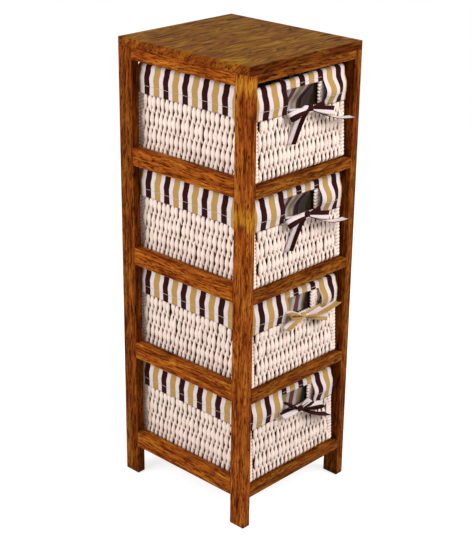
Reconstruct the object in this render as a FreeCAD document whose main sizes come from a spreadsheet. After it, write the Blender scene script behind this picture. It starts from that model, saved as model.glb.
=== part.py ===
"""Free-standing wooden tower with four woven, lined pull-out baskets.

The origin is on the floor under the middle of the tower, +Z is up and the front faces -Y.
Level 1 is the highest basket and level 4 the lowest.
"""
import FreeCAD, Part
import os
import re
import Sketcher

Vector = FreeCAD.Vector
LEVELS = (1, 2, 3, 4)
SIDES = {"left": -1, "right": 1}
ROWS = {"front": -1, "back": 1}

# Driving dimensions in millimetres
SIZES = {
    # Outside of the tower
    "tower_width": 272,
    "tower_depth": 300,
    "tower_height": 820,
    # Posts and top panel
    "post_width": 17,
    "post_depth": 32,
    "panel_thickness": 15,
    "edge_round": 1.5,
    "foot_bevel": 1.5,
    "leg_height": 57,
    # Rails
    "side_rail_height": 31,
    "cross_rail_height": 18,
    "top_side_rail_height": 20,
    "top_cross_rail_height": 14,
    # Tenons of the rails
    "tenon_length": 11,
    "tenon_thickness": 8,
    "tenon_shoulder": 5,
    "flat_tenon_width": 13,
    "flat_tenon_shoulder": 4,
    "tenon_play": 0.2,
    # Runner battens that carry the baskets
    "runner_width": 24,
    "runner_height": 14,
    "runner_round": 1,
    # Screws of the runners and of the panel
    "screw_diameter": 4,
    "screw_head_diameter": 8,
    "screw_play": 0.4,
    "runner_screw_length": 34,
    "runner_screw_inset": 45,
    "panel_screw_length": 23,
    "panel_screw_inset": 62,
    # Room around the baskets
    "basket_recess": 13,
    "basket_back_room": 19,
    "basket_side_gap": 2,
    "basket_headroom": 9,
    "basket_seat_gap": 0.3,
    # Woven basket
    "basket_wall": 8,
    "basket_floor": 6,
    "basket_corner": 9,
    "basket_bottom_round": 6,
    "basket_rim_round": 3,
    "cavity_corner": 6,
    "hand_hole_width": 84,
    "hand_hole_height": 36,
    "hand_hole_corner": 12,
    "hand_hole_edge_round": 3,
    "hand_hole_drop": 10,
    "hand_hole_offset": 2,
    # Wire frame inside the weave
    "wire_diameter": 3,
    "upright_wire_diameter": 2.4,
    "wire_gap": 0.4,
    "rim_wire_drop": 6,
    # Striped liner
    "liner_wall": 1.5,
    "liner_gap": 0.4,
    "skirt_thickness": 2,
    "skirt_gap": 0.5,
    "skirt_drop": 52,
    "rim_fold": 5,
    "rim_fold_round": 4,
    "notch_width": 90,
    "notch_offset": 8,
    "notch_corner": 5,
    "flap_drop": 15,
    "bag_hole_margin": 2,
    # Ribbon bow
    "ribbon_width": 12,
    "ribbon_thickness": 1.2,
    "ribbon_gap": 0.3,
    "bow_height": 107,
    "knot_width": 15,
    "knot_height": 13,
    "knot_depth": 7.5,
    "knot_round": 2.5,
    "loop_length": 52,
    "loop_depth": 7,
    "loop_end_round": 3,
    "tail_post_gap": 3,
    "tail_slant": 5,
    # Extra reach of every cutting shape
    "cut_overrun": 2,
}

# Sizes and places worked out from the driving dimensions
PLACES = {
    # Frame
    "post_height": "tower_height - panel_thickness",
    "post_x": "(tower_width - post_width) / 2",
    "post_y": "(tower_depth - post_depth) / 2",
    "inner_width": "tower_width - 2 * post_width",
    "inner_depth": "tower_depth - 2 * post_depth",
    "half_post_width": "post_width / 2",
    "half_post_depth": "post_depth / 2",
    "top_side_z": "post_height - top_side_rail_height / 2",
    "top_cross_z": "post_height - top_cross_rail_height / 2",
    "level_pitch": f"(post_height - top_side_rail_height - leg_height) / {len(LEVELS)}",
    "level_4": "leg_height",
    "level_3": "level_4 + level_pitch",
    "level_2": "level_3 + level_pitch",
    "level_1": "level_2 + level_pitch",
    "half_side_rail": "side_rail_height / 2",
    "half_cross_rail": "cross_rail_height / 2",
    # Tenons and mortises
    "side_tenon_height": "side_rail_height - 2 * tenon_shoulder",
    "top_side_tenon_height": "top_side_rail_height - 2 * tenon_shoulder",
    "cross_tenon_height": "cross_rail_height - 2 * flat_tenon_shoulder",
    "top_cross_tenon_height": "top_cross_rail_height - 2 * flat_tenon_shoulder",
    "mortise_thickness": "tenon_thickness + 2 * tenon_play",
    "side_mortise_height": "side_tenon_height + 2 * tenon_play",
    "top_side_mortise_height": "top_side_tenon_height + 2 * tenon_play",
    "flat_mortise_width": "flat_tenon_width + 2 * tenon_play",
    "cross_mortise_height": "cross_tenon_height + 2 * tenon_play",
    "top_cross_mortise_height": "top_cross_tenon_height + 2 * tenon_play",
    "mortise_depth": "tenon_length + tenon_play",
    "flat_tenon_y": "mortise_depth / 2",
    "side_rail_reach": "inner_depth + 2 * tenon_length",
    "cross_rail_reach": "inner_width + 2 * tenon_length",
    # Runners and screws
    "runner_x": "(inner_width - runner_width) / 2",
    "runner_rise": "cross_rail_height - runner_height / 2",
    "screw_hole_diameter": "screw_diameter + screw_play",
    "screw_head_height": "(screw_head_diameter - screw_diameter) / 2",
    "runner_screw_y": "inner_depth / 2 - runner_screw_inset",
    "runner_pilot_depth": "runner_screw_length - runner_width + screw_play",
    "panel_screw_x": "inner_width / 2 - panel_screw_inset",
    "panel_pilot_depth": "panel_screw_length - top_cross_rail_height + screw_play",
    # Basket
    "skirt_width": "inner_width - 2 * basket_side_gap",
    "skirt_room": "skirt_thickness + skirt_gap",
    "basket_width": "skirt_width - 2 * skirt_room",
    "basket_depth": "tower_depth - basket_recess - basket_back_room",
    "basket_y": "(basket_recess - basket_back_room) / 2",
    "seat_lift": "cross_rail_height + basket_seat_gap",
    "liner_top": "level_pitch - cross_rail_height - basket_headroom",
    "basket_height": "liner_top - rim_fold",
    "cavity_width": "basket_width - 2 * basket_wall",
    "cavity_depth": "basket_depth - 2 * basket_wall",
    "cavity_height": "basket_height - basket_floor",
    "hand_hole_z": "basket_height - hand_hole_drop - hand_hole_height / 2",
    # Wire frame
    "wire_inset": "wire_gap + wire_diameter / 2",
    "wire_width": "cavity_width - 2 * wire_inset",
    "wire_depth": "cavity_depth - 2 * wire_inset",
    "wire_corner": "cavity_corner - wire_inset",
    "base_wire_z": "basket_floor + wire_inset",
    "rim_wire_z": "basket_height - rim_wire_drop",
    "upright_length": "rim_wire_z - base_wire_z",
    # Liner
    "skirt_depth": "basket_depth + 2 * skirt_room",
    "skirt_corner": "basket_corner + skirt_room",
    "skirt_inner_width": "basket_width + 2 * skirt_gap",
    "skirt_inner_depth": "basket_depth + 2 * skirt_gap",
    "skirt_inner_corner": "basket_corner + skirt_gap",
    "skirt_bottom": "liner_top - skirt_drop",
    "fold_under": "basket_height + liner_gap - skirt_bottom",
    "bag_inset": "wire_gap + wire_diameter + liner_gap",
    "bag_width": "cavity_width - 2 * bag_inset",
    "bag_depth": "cavity_depth - 2 * bag_inset",
    "bag_inner_width": "bag_width - 2 * liner_wall",
    "bag_inner_depth": "bag_depth - 2 * liner_wall",
    "bag_inner_corner": "cavity_corner - liner_wall",
    "bag_bottom": "basket_floor + liner_gap",
    "bag_drop": "skirt_bottom - bag_bottom",
    "bag_hole_width": "hand_hole_width + 2 * bag_hole_margin",
    "bag_hole_height": "hand_hole_height + 2 * bag_hole_margin",
    "bag_hole_corner": "hand_hole_corner + bag_hole_margin",
    "notch_height": "skirt_drop - flap_drop + cut_overrun",
    "notch_z": "liner_top - flap_drop - notch_height / 2",
    # Bow
    "bow_y": "basket_y - skirt_depth / 2 - ribbon_gap - knot_depth / 2",
    "strap_length": "notch_width + ribbon_width",
    "strap_y": "(knot_depth - ribbon_thickness) / 2",
    "loop_inner_length": "loop_length - 2 * ribbon_thickness",
    "loop_inner_depth": "loop_depth - 2 * ribbon_thickness",
    "loop_inner_round": "loop_end_round - ribbon_thickness",
    "loop_x": "loop_length / 2",
    "tail_length": "inner_width / 2 - notch_offset - tail_post_gap",
}

# Angles in degrees of the two ribbon tails, and their lengths as shares of the longest tail
TAIL_ANGLES = {1: (235, -19), 2: (235, -19), 3: (205, -2), 4: (194, -27)}
TAIL_LENGTH_SHARES = {1: (0.6, 1.0), 2: (0.6, 1.0), 3: (0.5, 0.86), 4: (0.5, 0.8)}

# Places of the wire uprights along each wall, as shares of the ring
UPRIGHT_SHARES = (-0.36, 0.36)

# Coordinates nearer than this share of the smallest gap count as equal
CLOSE_SHARE = 0.01

doc = FreeCAD.newDocument("basket_tower")
pieces = []


def add_sheet(name, cells):
    """Put named cells into a new sheet, one row each."""
    sheet = doc.addObject("Spreadsheet::Sheet", name)
    for row, (alias, content) in enumerate(cells.items(), start=1):
        sheet.set(f"A{row}", alias)
        sheet.set(f"B{row}", content)
        sheet.setAlias(f"B{row}", alias)
    doc.recompute()
    return sheet


def formula(text):
    """Name the sheet of every size and place in a formula."""
    def owner(match):
        word = match.group()
        if word in SIZES:
            return f"Sizes.{word}"
        if word in PLACES:
            return f"Places.{word}"
        raise ValueError(f"no size is called {word}")
    return re.sub(r"[a-z_][a-z_0-9]*", owner, text)


sizes = add_sheet("Sizes", {alias: str(number) for alias, number in SIZES.items()})
places = add_sheet("Places", {alias: f"={formula(text)}" for alias, text in PLACES.items()})


def measure(text):
    """Work out a formula of named sizes as the sheets stand now."""
    return float(places.evalExpression(formula(text)))


def bind(target, setting, text):
    """Tie a setting of an object to a formula of named sizes."""
    target.setExpression(setting, formula(text))


def place(target, x="", y="", z=""):
    """Tie an object's position to formulas of named sizes."""
    for axis, text in (("x", x), ("y", y), ("z", z)):
        if text:
            bind(target, f"Placement.Base.{axis}", text)


def new_body(label):
    """Start one sub-part."""
    body = doc.addObject("PartDesign::Body", label)
    body.Label = label
    pieces.append(body)
    return body


def origin_of(body, role):
    """Find a plane or axis of a body's origin."""
    return next(item for item in body.Origin.OriginFeatures if item.Role == role)


def new_sketch(body, role, x="", y="", z="", turn=0):
    """Start a sketch on an origin plane, moved within the plane by x and y, off it by z, and turned."""
    sketch = body.newObject("Sketcher::SketchObject", f"{body.Label}_sketch")
    sketch.AttachmentSupport = (origin_of(body, role), [""])
    sketch.MapMode = "FlatFace"
    sketch.AttachmentOffset = FreeCAD.Placement(Vector(), FreeCAD.Rotation(Vector(0, 0, 1), turn))
    for axis, text in (("x", x), ("y", y), ("z", z)):
        if text:
            bind(sketch, f"AttachmentOffset.Base.{axis}", text)
    return sketch


def constrain(sketch, name, text, *arguments):
    """Add a named dimension to a sketch and tie it to a formula."""
    number = sketch.addConstraint(Sketcher.Constraint(*arguments, measure(text)))
    sketch.renameConstraint(number, name)
    bind(sketch, f"Constraints.{name}", text)


def join(sketch, *constraints):
    """Add geometric constraints to a sketch."""
    for arguments in constraints:
        sketch.addConstraint(Sketcher.Constraint(*arguments))


def outline(sketch, width, height, corner="", tag="outer"):
    """Draw a rectangle, with round corners if a corner size is named, centred on the sketch's origin."""
    w, h = measure(width) / 2, measure(height) / 2
    r = measure(corner) if corner else 0
    starts = (Vector(r - w, -h, 0), Vector(w, r - h, 0), Vector(w - r, h, 0), Vector(-w, h - r, 0))
    ends = (Vector(w - r, -h, 0), Vector(w, h - r, 0), Vector(r - w, h, 0), Vector(-w, r - h, 0))
    lines = [sketch.addGeometry(Part.LineSegment(a, b), False) for a, b in zip(starts, ends)]
    arcs = []
    for side in range(4):
        following = (side + 1) % 4
        if not corner:
            join(sketch, ("Coincident", lines[side], 2, lines[following], 1))
            continue
        sharp = Vector(w if side < 2 else -w, h if side in (1, 2) else -h, 0)
        chord = (ends[side] + starts[following]) / 2
        middle = chord + (sharp - chord) * (2 ** 0.5 - 1)
        arcs.append(sketch.addGeometry(Part.Arc(ends[side], middle, starts[following]), False))
        join(sketch, ("Tangent", lines[side], 2, arcs[side], 1))
        join(sketch, ("Tangent", arcs[side], 2, lines[following], 1))
    join(sketch, ("Horizontal", lines[0]), ("Horizontal", lines[2]))
    join(sketch, ("Vertical", lines[1]), ("Vertical", lines[3]))
    if corner:
        join(sketch, *(("Equal", arcs[0], other) for other in arcs[1:]))
        constrain(sketch, f"{tag}_corner", corner, "Radius", arcs[0])
    join(sketch, ("Symmetric", lines[0], 1, lines[2], 1, -1, 1))
    constrain(sketch, f"{tag}_width", width, "DistanceX", lines[3], 1, lines[1], 1)
    constrain(sketch, f"{tag}_height", height, "DistanceY", lines[0], 1, lines[2], 1)
    return sketch


def circles(sketch, centres, diameter):
    """Draw circles whose centres are pairs of formulas, where an empty one lies on the sketch's axis."""
    for number, centre in enumerate(centres):
        x, y = (measure(text) if text else 0 for text in centre)
        circle = Part.Circle(Vector(x, y, 0), Vector(0, 0, 1), measure(diameter) / 2)
        drawn = sketch.addGeometry(circle, False)
        constrain(sketch, f"bore_{number}", diameter, "Diameter", drawn)
        for kind, axis, text in (("DistanceX", -2, centre[0]), ("DistanceY", -1, centre[1])):
            if text:
                constrain(sketch, f"{kind}_{number}", text, kind, -1, 1, drawn, 3)
            else:
                join(sketch, ("PointOnObject", drawn, 3, axis))
    return sketch


def extrude(body, sketch, kind, length, side="One side", reverse=False):
    """Add or cut the shape of a sketch over a length."""
    feature = body.newObject(f"PartDesign::{kind}", f"{body.Label}_{kind}")
    feature.Profile = sketch
    feature.SideType = side
    feature.Reversed = reverse
    bind(feature, "Length", length)
    doc.recompute()
    return feature


def cut(body, sketch, depth, reverse=False, both=False):
    """Cut a sketch to a depth, on both sides of its plane if asked, and make sure that something went."""
    before = body.Shape.Volume
    if both:
        feature = extrude(body, sketch, "Pocket", f"2 * ({depth})", "Symmetric")
    else:
        feature = extrude(body, sketch, "Pocket", depth, reverse=reverse)
    if not body.Shape.Volume < before:
        raise ValueError(f"a cut in {body.Label} removes nothing")
    return feature


def soften(body, kind, size, chosen):
    """Round or bevel the edges of a body for which a test holds."""
    base = body.Tip
    names = [f"Edge{number}" for number, edge in enumerate(base.Shape.Edges, start=1) if chosen(edge)]
    feature = body.newObject(f"PartDesign::{kind}", f"{body.Label}_{kind}")
    feature.Base = (base, names)
    bind(feature, "Radius" if kind == "Fillet" else "Size", size)
    doc.recompute()
    return feature


def close_to(first, second):
    """Tell whether two coordinates are the same, measured against the smallest gap of the part."""
    return abs(first - second) < CLOSE_SHARE * measure("tenon_play")


def running(axis):
    """Make a test for straight edges along one axis."""
    def test(edge):
        run = edge.Vertexes[-1].Point - edge.Vertexes[0].Point
        return run.Length > 0 and close_to(abs(getattr(run, axis)), run.Length)
    return test


def level_at(height):
    """Make a test for edges that lie level at one height."""
    def test(edge):
        return close_to(edge.BoundBox.ZMin, height) and close_to(edge.BoundBox.ZMax, height)
    return test


def repeat_up(body, feature):
    """Repeat a cut of the lowest level at every other level."""
    pattern = body.newObject("PartDesign::LinearPattern", f"{body.Label}_levels")
    pattern.Originals = [feature]
    pattern.Direction = (origin_of(body, "Z_Axis"), [""])
    pattern.Mode = "Spacing"
    bind(pattern, "Offset", "level_pitch")
    pattern.Occurrences = len(LEVELS)
    body.Tip = pattern
    doc.recompute()


def build_post(row, side):
    """Make a post with a bevelled foot and the mortises of its rails in its two inner faces."""
    body = new_body(f"post_{row}_{side}")
    inward_y, inward_x = -ROWS[row], -SIDES[side]
    extrude(body, outline(new_sketch(body, "XY_Plane"), "post_width", "post_depth"), "Pad", "post_height")
    soften(body, "Fillet", "edge_round", running("z"))
    soften(body, "Chamfer", "foot_bevel", level_at(0))
    inner_face = f"{-inward_y} * half_post_depth"
    rail = new_sketch(body, "XZ_Plane", y="leg_height + half_side_rail", z=inner_face)
    outline(rail, "mortise_thickness", "side_mortise_height")
    repeat_up(body, cut(body, rail, "mortise_depth", both=True))
    top_rail = new_sketch(body, "XZ_Plane", y="top_side_z", z=inner_face)
    outline(top_rail, "mortise_thickness", "top_side_mortise_height")
    cut(body, top_rail, "mortise_depth", both=True)
    inner_face = f"{inward_x} * half_post_width"
    flat_y = f"{-inward_y} * flat_tenon_y"
    cross = new_sketch(body, "YZ_Plane", flat_y, "leg_height + half_cross_rail", inner_face)
    outline(cross, "flat_mortise_width", "cross_mortise_height")
    repeat_up(body, cut(body, cross, "mortise_depth", both=True))
    top_cross = new_sketch(body, "YZ_Plane", flat_y, "top_cross_z", inner_face)
    outline(top_cross, "flat_mortise_width", "top_cross_mortise_height")
    cut(body, top_cross, "mortise_depth", both=True)
    place(body, f"{SIDES[side]} * post_x", f"{ROWS[row]} * post_y")


def build_panel():
    """Make the top panel, eased all round, with pilot holes for its screws in the underside."""
    body = new_body("top_panel")
    extrude(body, outline(new_sketch(body, "XY_Plane"), "tower_width", "tower_depth"),
            "Pad", "panel_thickness")
    soften(body, "Fillet", "edge_round", lambda edge: True)
    spots = [(f"{sign} * panel_screw_x", f"{row} * post_y")
             for sign in SIDES.values() for row in ROWS.values()]
    cut(body, circles(new_sketch(body, "XY_Plane"), spots, "screw_hole_diameter"),
        "panel_pilot_depth", both=True)
    place(body, z="post_height")


def build_rail(label, plane, section, length, tenon, reach, tenon_y=""):
    """Make a rail across the plane of its section: eased long edges, and a tenon at each end."""
    body = new_body(label)
    extrude(body, outline(new_sketch(body, plane), *section), "Pad", length, "Symmetric")
    soften(body, "Fillet", "edge_round", running("y" if plane == "XZ_Plane" else "x"))
    extrude(body, outline(new_sketch(body, plane, x=tenon_y), *tenon), "Pad", reach, "Symmetric")
    return body


def build_side_rails():
    """Make the upright rails of both sides, with pilot holes for the runners' screws."""
    for side, sign in SIDES.items():
        top = build_rail(f"side_rail_{side}_top", "XZ_Plane", ("post_width", "top_side_rail_height"),
                         "inner_depth", ("tenon_thickness", "top_side_tenon_height"), "side_rail_reach")
        place(top, f"{sign} * post_x", z="top_side_z")
        for level in LEVELS:
            rail = build_rail(f"side_rail_{side}_{level}", "XZ_Plane", ("post_width", "side_rail_height"),
                              "inner_depth", ("tenon_thickness", "side_tenon_height"), "side_rail_reach")
            pilots = new_sketch(rail, "YZ_Plane", y="runner_rise - half_side_rail",
                                z=f"{-sign} * half_post_width")
            circles(pilots, [("-runner_screw_y", ""), ("runner_screw_y", "")], "screw_hole_diameter")
            cut(rail, pilots, "runner_pilot_depth", both=True)
            place(rail, f"{sign} * post_x", z=f"level_{level} + half_side_rail")


def sink_screws(body, face, centre):
    """Widen the screw holes of a body for the screw heads on one face."""
    def on_face(edge):
        box = edge.BoundBox
        return isinstance(edge.Curve, Part.Circle) and close_to(getattr(box.Center, face), centre)
    soften(body, "Chamfer", "screw_head_height", on_face)


def build_cross_rails():
    """Make the flat rails of the front and the back, with screw holes in the pair that holds the panel."""
    for row, sign in ROWS.items():
        flat_y = f"{sign} * flat_tenon_y"
        top = build_rail(f"{row}_rail_top", "YZ_Plane", ("post_depth", "top_cross_rail_height"),
                         "inner_width", ("flat_tenon_width", "top_cross_tenon_height"),
                         "cross_rail_reach", flat_y)
        bores = circles(new_sketch(top, "XY_Plane"), [("-panel_screw_x", ""), ("panel_screw_x", "")],
                        "screw_hole_diameter")
        cut(top, bores, "top_cross_rail_height / 2 + cut_overrun", both=True)
        sink_screws(top, "z", -measure("top_cross_rail_height") / 2)
        place(top, y=f"{sign} * post_y", z="top_cross_z")
        for level in LEVELS:
            rail = build_rail(f"{row}_rail_{level}", "YZ_Plane", ("post_depth", "cross_rail_height"),
                              "inner_width", ("flat_tenon_width", "cross_tenon_height"),
                              "cross_rail_reach", flat_y)
            place(rail, y=f"{sign} * post_y", z=f"level_{level} + half_cross_rail")


def build_runners():
    """Make the battens inside the side rails, with countersunk screw holes."""
    for side, sign in SIDES.items():
        for level in LEVELS:
            body = new_body(f"runner_{side}_{level}")
            extrude(body, outline(new_sketch(body, "XZ_Plane"), "runner_width", "runner_height"),
                    "Pad", "inner_depth", "Symmetric")
            soften(body, "Fillet", "runner_round", running("y"))
            bores = circles(new_sketch(body, "YZ_Plane"), [("-runner_screw_y", ""), ("runner_screw_y", "")],
                            "screw_hole_diameter")
            cut(body, bores, "runner_width / 2 + cut_overrun", both=True)
            sink_screws(body, "x", -sign * measure("runner_width") / 2)
            place(body, f"{sign} * runner_x", z=f"level_{level} + runner_rise")


def build_screws(label, length, turn, spots):
    """Make a group of countersunk screws, heads first, each along +Z before its turn."""
    screws = []
    for number, spot in enumerate(spots):
        head = doc.addObject("Part::Cone", f"{label}_head_{number}")
        bind(head, "Radius1", "screw_head_diameter / 2")
        bind(head, "Radius2", "screw_diameter / 2")
        bind(head, "Height", "screw_head_height")
        shank = doc.addObject("Part::Cylinder", f"{label}_shank_{number}")
        bind(shank, "Radius", "screw_diameter / 2")
        bind(shank, "Height", f"{length} - screw_head_height")
        bind(shank, "Placement.Base.z", "screw_head_height")
        screw = doc.addObject("Part::Fuse", f"{label}_{number}")
        screw.Base, screw.Tool = head, shank
        screw.Placement = FreeCAD.Placement(Vector(), turn)
        place(screw, *spot)
        screws.append(screw)
    group = doc.addObject("Part::Compound", label)
    group.Label = label
    group.Links = screws
    pieces.append(group)


def build_fasteners():
    """Make the runners' screws on each side and the panel's screws."""
    for side, sign in SIDES.items():
        spots = [(f"{sign} * (inner_width / 2 - runner_width)", f"{end} * runner_screw_y",
                  f"level_{level} + runner_rise") for level in LEVELS for end in (-1, 1)]
        build_screws(f"runner_screws_{side}", "runner_screw_length",
                     FreeCAD.Rotation(Vector(0, 1, 0), sign * 90), spots)
    spots = [(f"{sign} * panel_screw_x", f"{row} * post_y", "post_height - top_cross_rail_height")
             for sign in SIDES.values() for row in ROWS.values()]
    build_screws("panel_screws", "panel_screw_length", FreeCAD.Rotation(), spots)


def seat(body, level):
    """Stand a basket's piece on the runners and front rail of its level."""
    place(body, y="basket_y", z=f"level_{level} + seat_lift")


def build_basket(level):
    """Make the woven shell: rounded bottom and corners, rounded rim and a hand-hole in the front."""
    body = new_body(f"basket_{level}")
    shell = outline(new_sketch(body, "XY_Plane"), "basket_width", "basket_depth", "basket_corner")
    extrude(body, shell, "Pad", "basket_height")
    soften(body, "Fillet", "basket_bottom_round", level_at(0))
    cavity = new_sketch(body, "XY_Plane", z="basket_height")
    cut(body, outline(cavity, "cavity_width", "cavity_depth", "cavity_corner"), "cavity_height")
    soften(body, "Fillet", "basket_rim_round", level_at(measure("basket_height")))
    hole = new_sketch(body, "XZ_Plane", "hand_hole_offset", "hand_hole_z", "basket_depth / 2")
    outline(hole, "hand_hole_width", "hand_hole_height", "hand_hole_corner")
    cut(body, hole, "basket_wall + cut_overrun", both=True)
    middle = Vector(measure("hand_hole_offset"), -measure("basket_depth - basket_wall") / 2,
                    measure("hand_hole_z"))
    reach = Vector(measure("hand_hole_width"), measure("basket_wall"), measure("hand_hole_height")) / 2

    def round_the_hole(edge):
        off = edge.BoundBox.Center - middle
        on_wall = close_to(abs(off.y), reach.y) and edge.BoundBox.YLength < reach.y
        beside = abs(off.x) < reach.x or close_to(abs(off.x), reach.x)
        level = abs(off.z) < reach.z or close_to(abs(off.z), reach.z)
        return on_wall and beside and level
    soften(body, "Fillet", "hand_hole_edge_round", round_the_hole)
    seat(body, level)


def build_wire_frame(level):
    """Bend the wire frame: a base ring, uprights along each wall and a rim ring."""
    body = new_body(f"wire_frame_{level}")

    def ring(height):
        path = new_sketch(body, "XY_Plane", z=height)
        outline(path, "wire_width", "wire_depth", "wire_corner")
        wire = new_sketch(body, "YZ_Plane", x="-wire_depth / 2", y=height)
        circles(wire, [("", "")], "wire_diameter")
        doc.recompute()
        pipe = body.newObject("PartDesign::AdditivePipe", f"{body.Label}_ring")
        pipe.Profile = wire
        pipe.Spine = path
        doc.recompute()

    ring("base_wire_z")
    spots = [(f"{share} * wire_width", f"{row} * wire_depth / 2")
             for share in UPRIGHT_SHARES for row in ROWS.values()]
    spots += [(f"{side} * wire_width / 2", f"{share} * wire_depth")
              for share in UPRIGHT_SHARES for side in SIDES.values()]
    uprights = circles(new_sketch(body, "XY_Plane", z="base_wire_z"), spots, "upright_wire_diameter")
    extrude(body, uprights, "Pad", "upright_length")
    ring("rim_wire_z")
    seat(body, level)


def build_liner(level):
    """Sew the liner: a skirt with a notch, a fold over the rim, and a bag open at the hand-hole."""
    body = new_body(f"liner_{level}")
    skirt = new_sketch(body, "XY_Plane", z="skirt_bottom")
    extrude(body, outline(skirt, "skirt_width", "skirt_depth", "skirt_corner"), "Pad", "skirt_drop")
    soften(body, "Fillet", "rim_fold_round", level_at(measure("liner_top")))
    mouth = new_sketch(body, "XY_Plane", z="liner_top")
    cut(body, outline(mouth, "bag_inner_width", "bag_inner_depth", "bag_inner_corner"), "skirt_drop")
    wall_room = new_sketch(body, "XY_Plane", z="skirt_bottom")
    outline(wall_room, "skirt_inner_width", "skirt_inner_depth", "skirt_inner_corner")
    outline(wall_room, "bag_width", "bag_depth", "cavity_corner", tag="inner")
    cut(body, wall_room, "fold_under", reverse=True)
    bag = new_sketch(body, "XY_Plane", z="bag_bottom")
    outline(bag, "bag_width", "bag_depth", "cavity_corner")
    outline(bag, "bag_inner_width", "bag_inner_depth", "bag_inner_corner", tag="inner")
    extrude(body, bag, "Pad", "bag_drop")
    floor = new_sketch(body, "XY_Plane", z="bag_bottom")
    extrude(body, outline(floor, "bag_width", "bag_depth", "cavity_corner"), "Pad", "liner_wall")
    notch = new_sketch(body, "XZ_Plane", "notch_offset", "notch_z", "skirt_depth / 2")
    outline(notch, "notch_width", "notch_height", "notch_corner")
    cut(body, notch, "skirt_room + skirt_gap", both=True)
    hole = new_sketch(body, "XZ_Plane", "hand_hole_offset", "hand_hole_z", "bag_depth / 2")
    outline(hole, "bag_hole_width", "bag_hole_height", "bag_hole_corner")
    cut(body, hole, "liner_wall + liner_gap", both=True)
    seat(body, level)


def ribbon_tail(body, angle, share):
    """Add one flat tail of ribbon with a slanted end, which leaves the knot at an angle."""
    tail = new_sketch(body, "XZ_Plane", turn=angle)
    reach, half, slant = share * measure("tail_length"), measure("ribbon_width") / 2, measure("tail_slant")
    corners = (Vector(0, -half, 0), Vector(reach, -half, 0), Vector(reach - slant, half, 0),
               Vector(0, half, 0))
    lines = [tail.addGeometry(Part.LineSegment(corners[i], corners[(i + 1) % 4]), False) for i in range(4)]
    for i in range(4):
        join(tail, ("Coincident", lines[i], 2, lines[(i + 1) % 4], 1))
    join(tail, ("Horizontal", lines[0]), ("Horizontal", lines[2]), ("Vertical", lines[3]))
    join(tail, ("Symmetric", lines[0], 1, lines[3], 1, -1, 1))
    constrain(tail, "width", "ribbon_width", "DistanceY", lines[0], 1, lines[3], 1)
    constrain(tail, "reach", f"{share} * tail_length", "DistanceX", lines[0], 1, lines[0], 2)
    constrain(tail, "slant", "tail_slant", "DistanceX", lines[1], 2, lines[1], 1)
    extrude(body, tail, "Pad", "ribbon_thickness", "Symmetric")


def build_bow(level):
    """Tie the ribbon: a strap across the notch, a knot, two loops and two tails."""
    body = new_body(f"bow_{level}")
    knot = outline(new_sketch(body, "XZ_Plane"), "knot_width", "knot_height", "knot_round")
    extrude(body, knot, "Pad", "knot_depth", "Symmetric")
    strap = outline(new_sketch(body, "XZ_Plane", z="-strap_y"), "strap_length", "ribbon_width")
    extrude(body, strap, "Pad", "ribbon_thickness", "Symmetric")
    for sign in SIDES.values():
        loop = new_sketch(body, "XY_Plane", x=f"{sign} * loop_x")
        outline(loop, "loop_length", "loop_depth", "loop_end_round")
        outline(loop, "loop_inner_length", "loop_inner_depth", "loop_inner_round", tag="inner")
        extrude(body, loop, "Pad", "ribbon_width", "Symmetric")
    for angle, share in zip(TAIL_ANGLES[level], TAIL_LENGTH_SHARES[level]):
        ribbon_tail(body, angle, share)
    place(body, "notch_offset", "bow_y", f"level_{level} + seat_lift + bow_height")


for row in ROWS:
    for side in SIDES:
        build_post(row, side)
build_panel()
build_side_rails()
build_cross_rails()
build_runners()
build_fasteners()
for level in LEVELS:
    build_basket(level)
    build_wire_frame(level)
    build_liner(level)
    build_bow(level)
doc.recompute()

# Check everything before any file is written
for item in doc.Objects:
    if {"Invalid", "Error"} & set(item.State):
        raise ValueError(f"{item.Label} failed: {item.State}")
for piece in pieces:
    if piece.Shape.isNull() or not piece.Shape.isValid():
        raise ValueError(f"{piece.Label} has no sound shape")

os.makedirs("parts", exist_ok=True)
for piece in pieces:
    piece.Shape.exportStep(f"parts/{piece.Label}.step")
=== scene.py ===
"""Looks of a stained wooden tower with four lined, woven baskets that pull out to the front."""
import math

import bpy
import numpy as np
from bpy.props import FloatProperty, FloatVectorProperty, IntProperty, PointerProperty
from mathutils import Matrix, Vector


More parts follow.
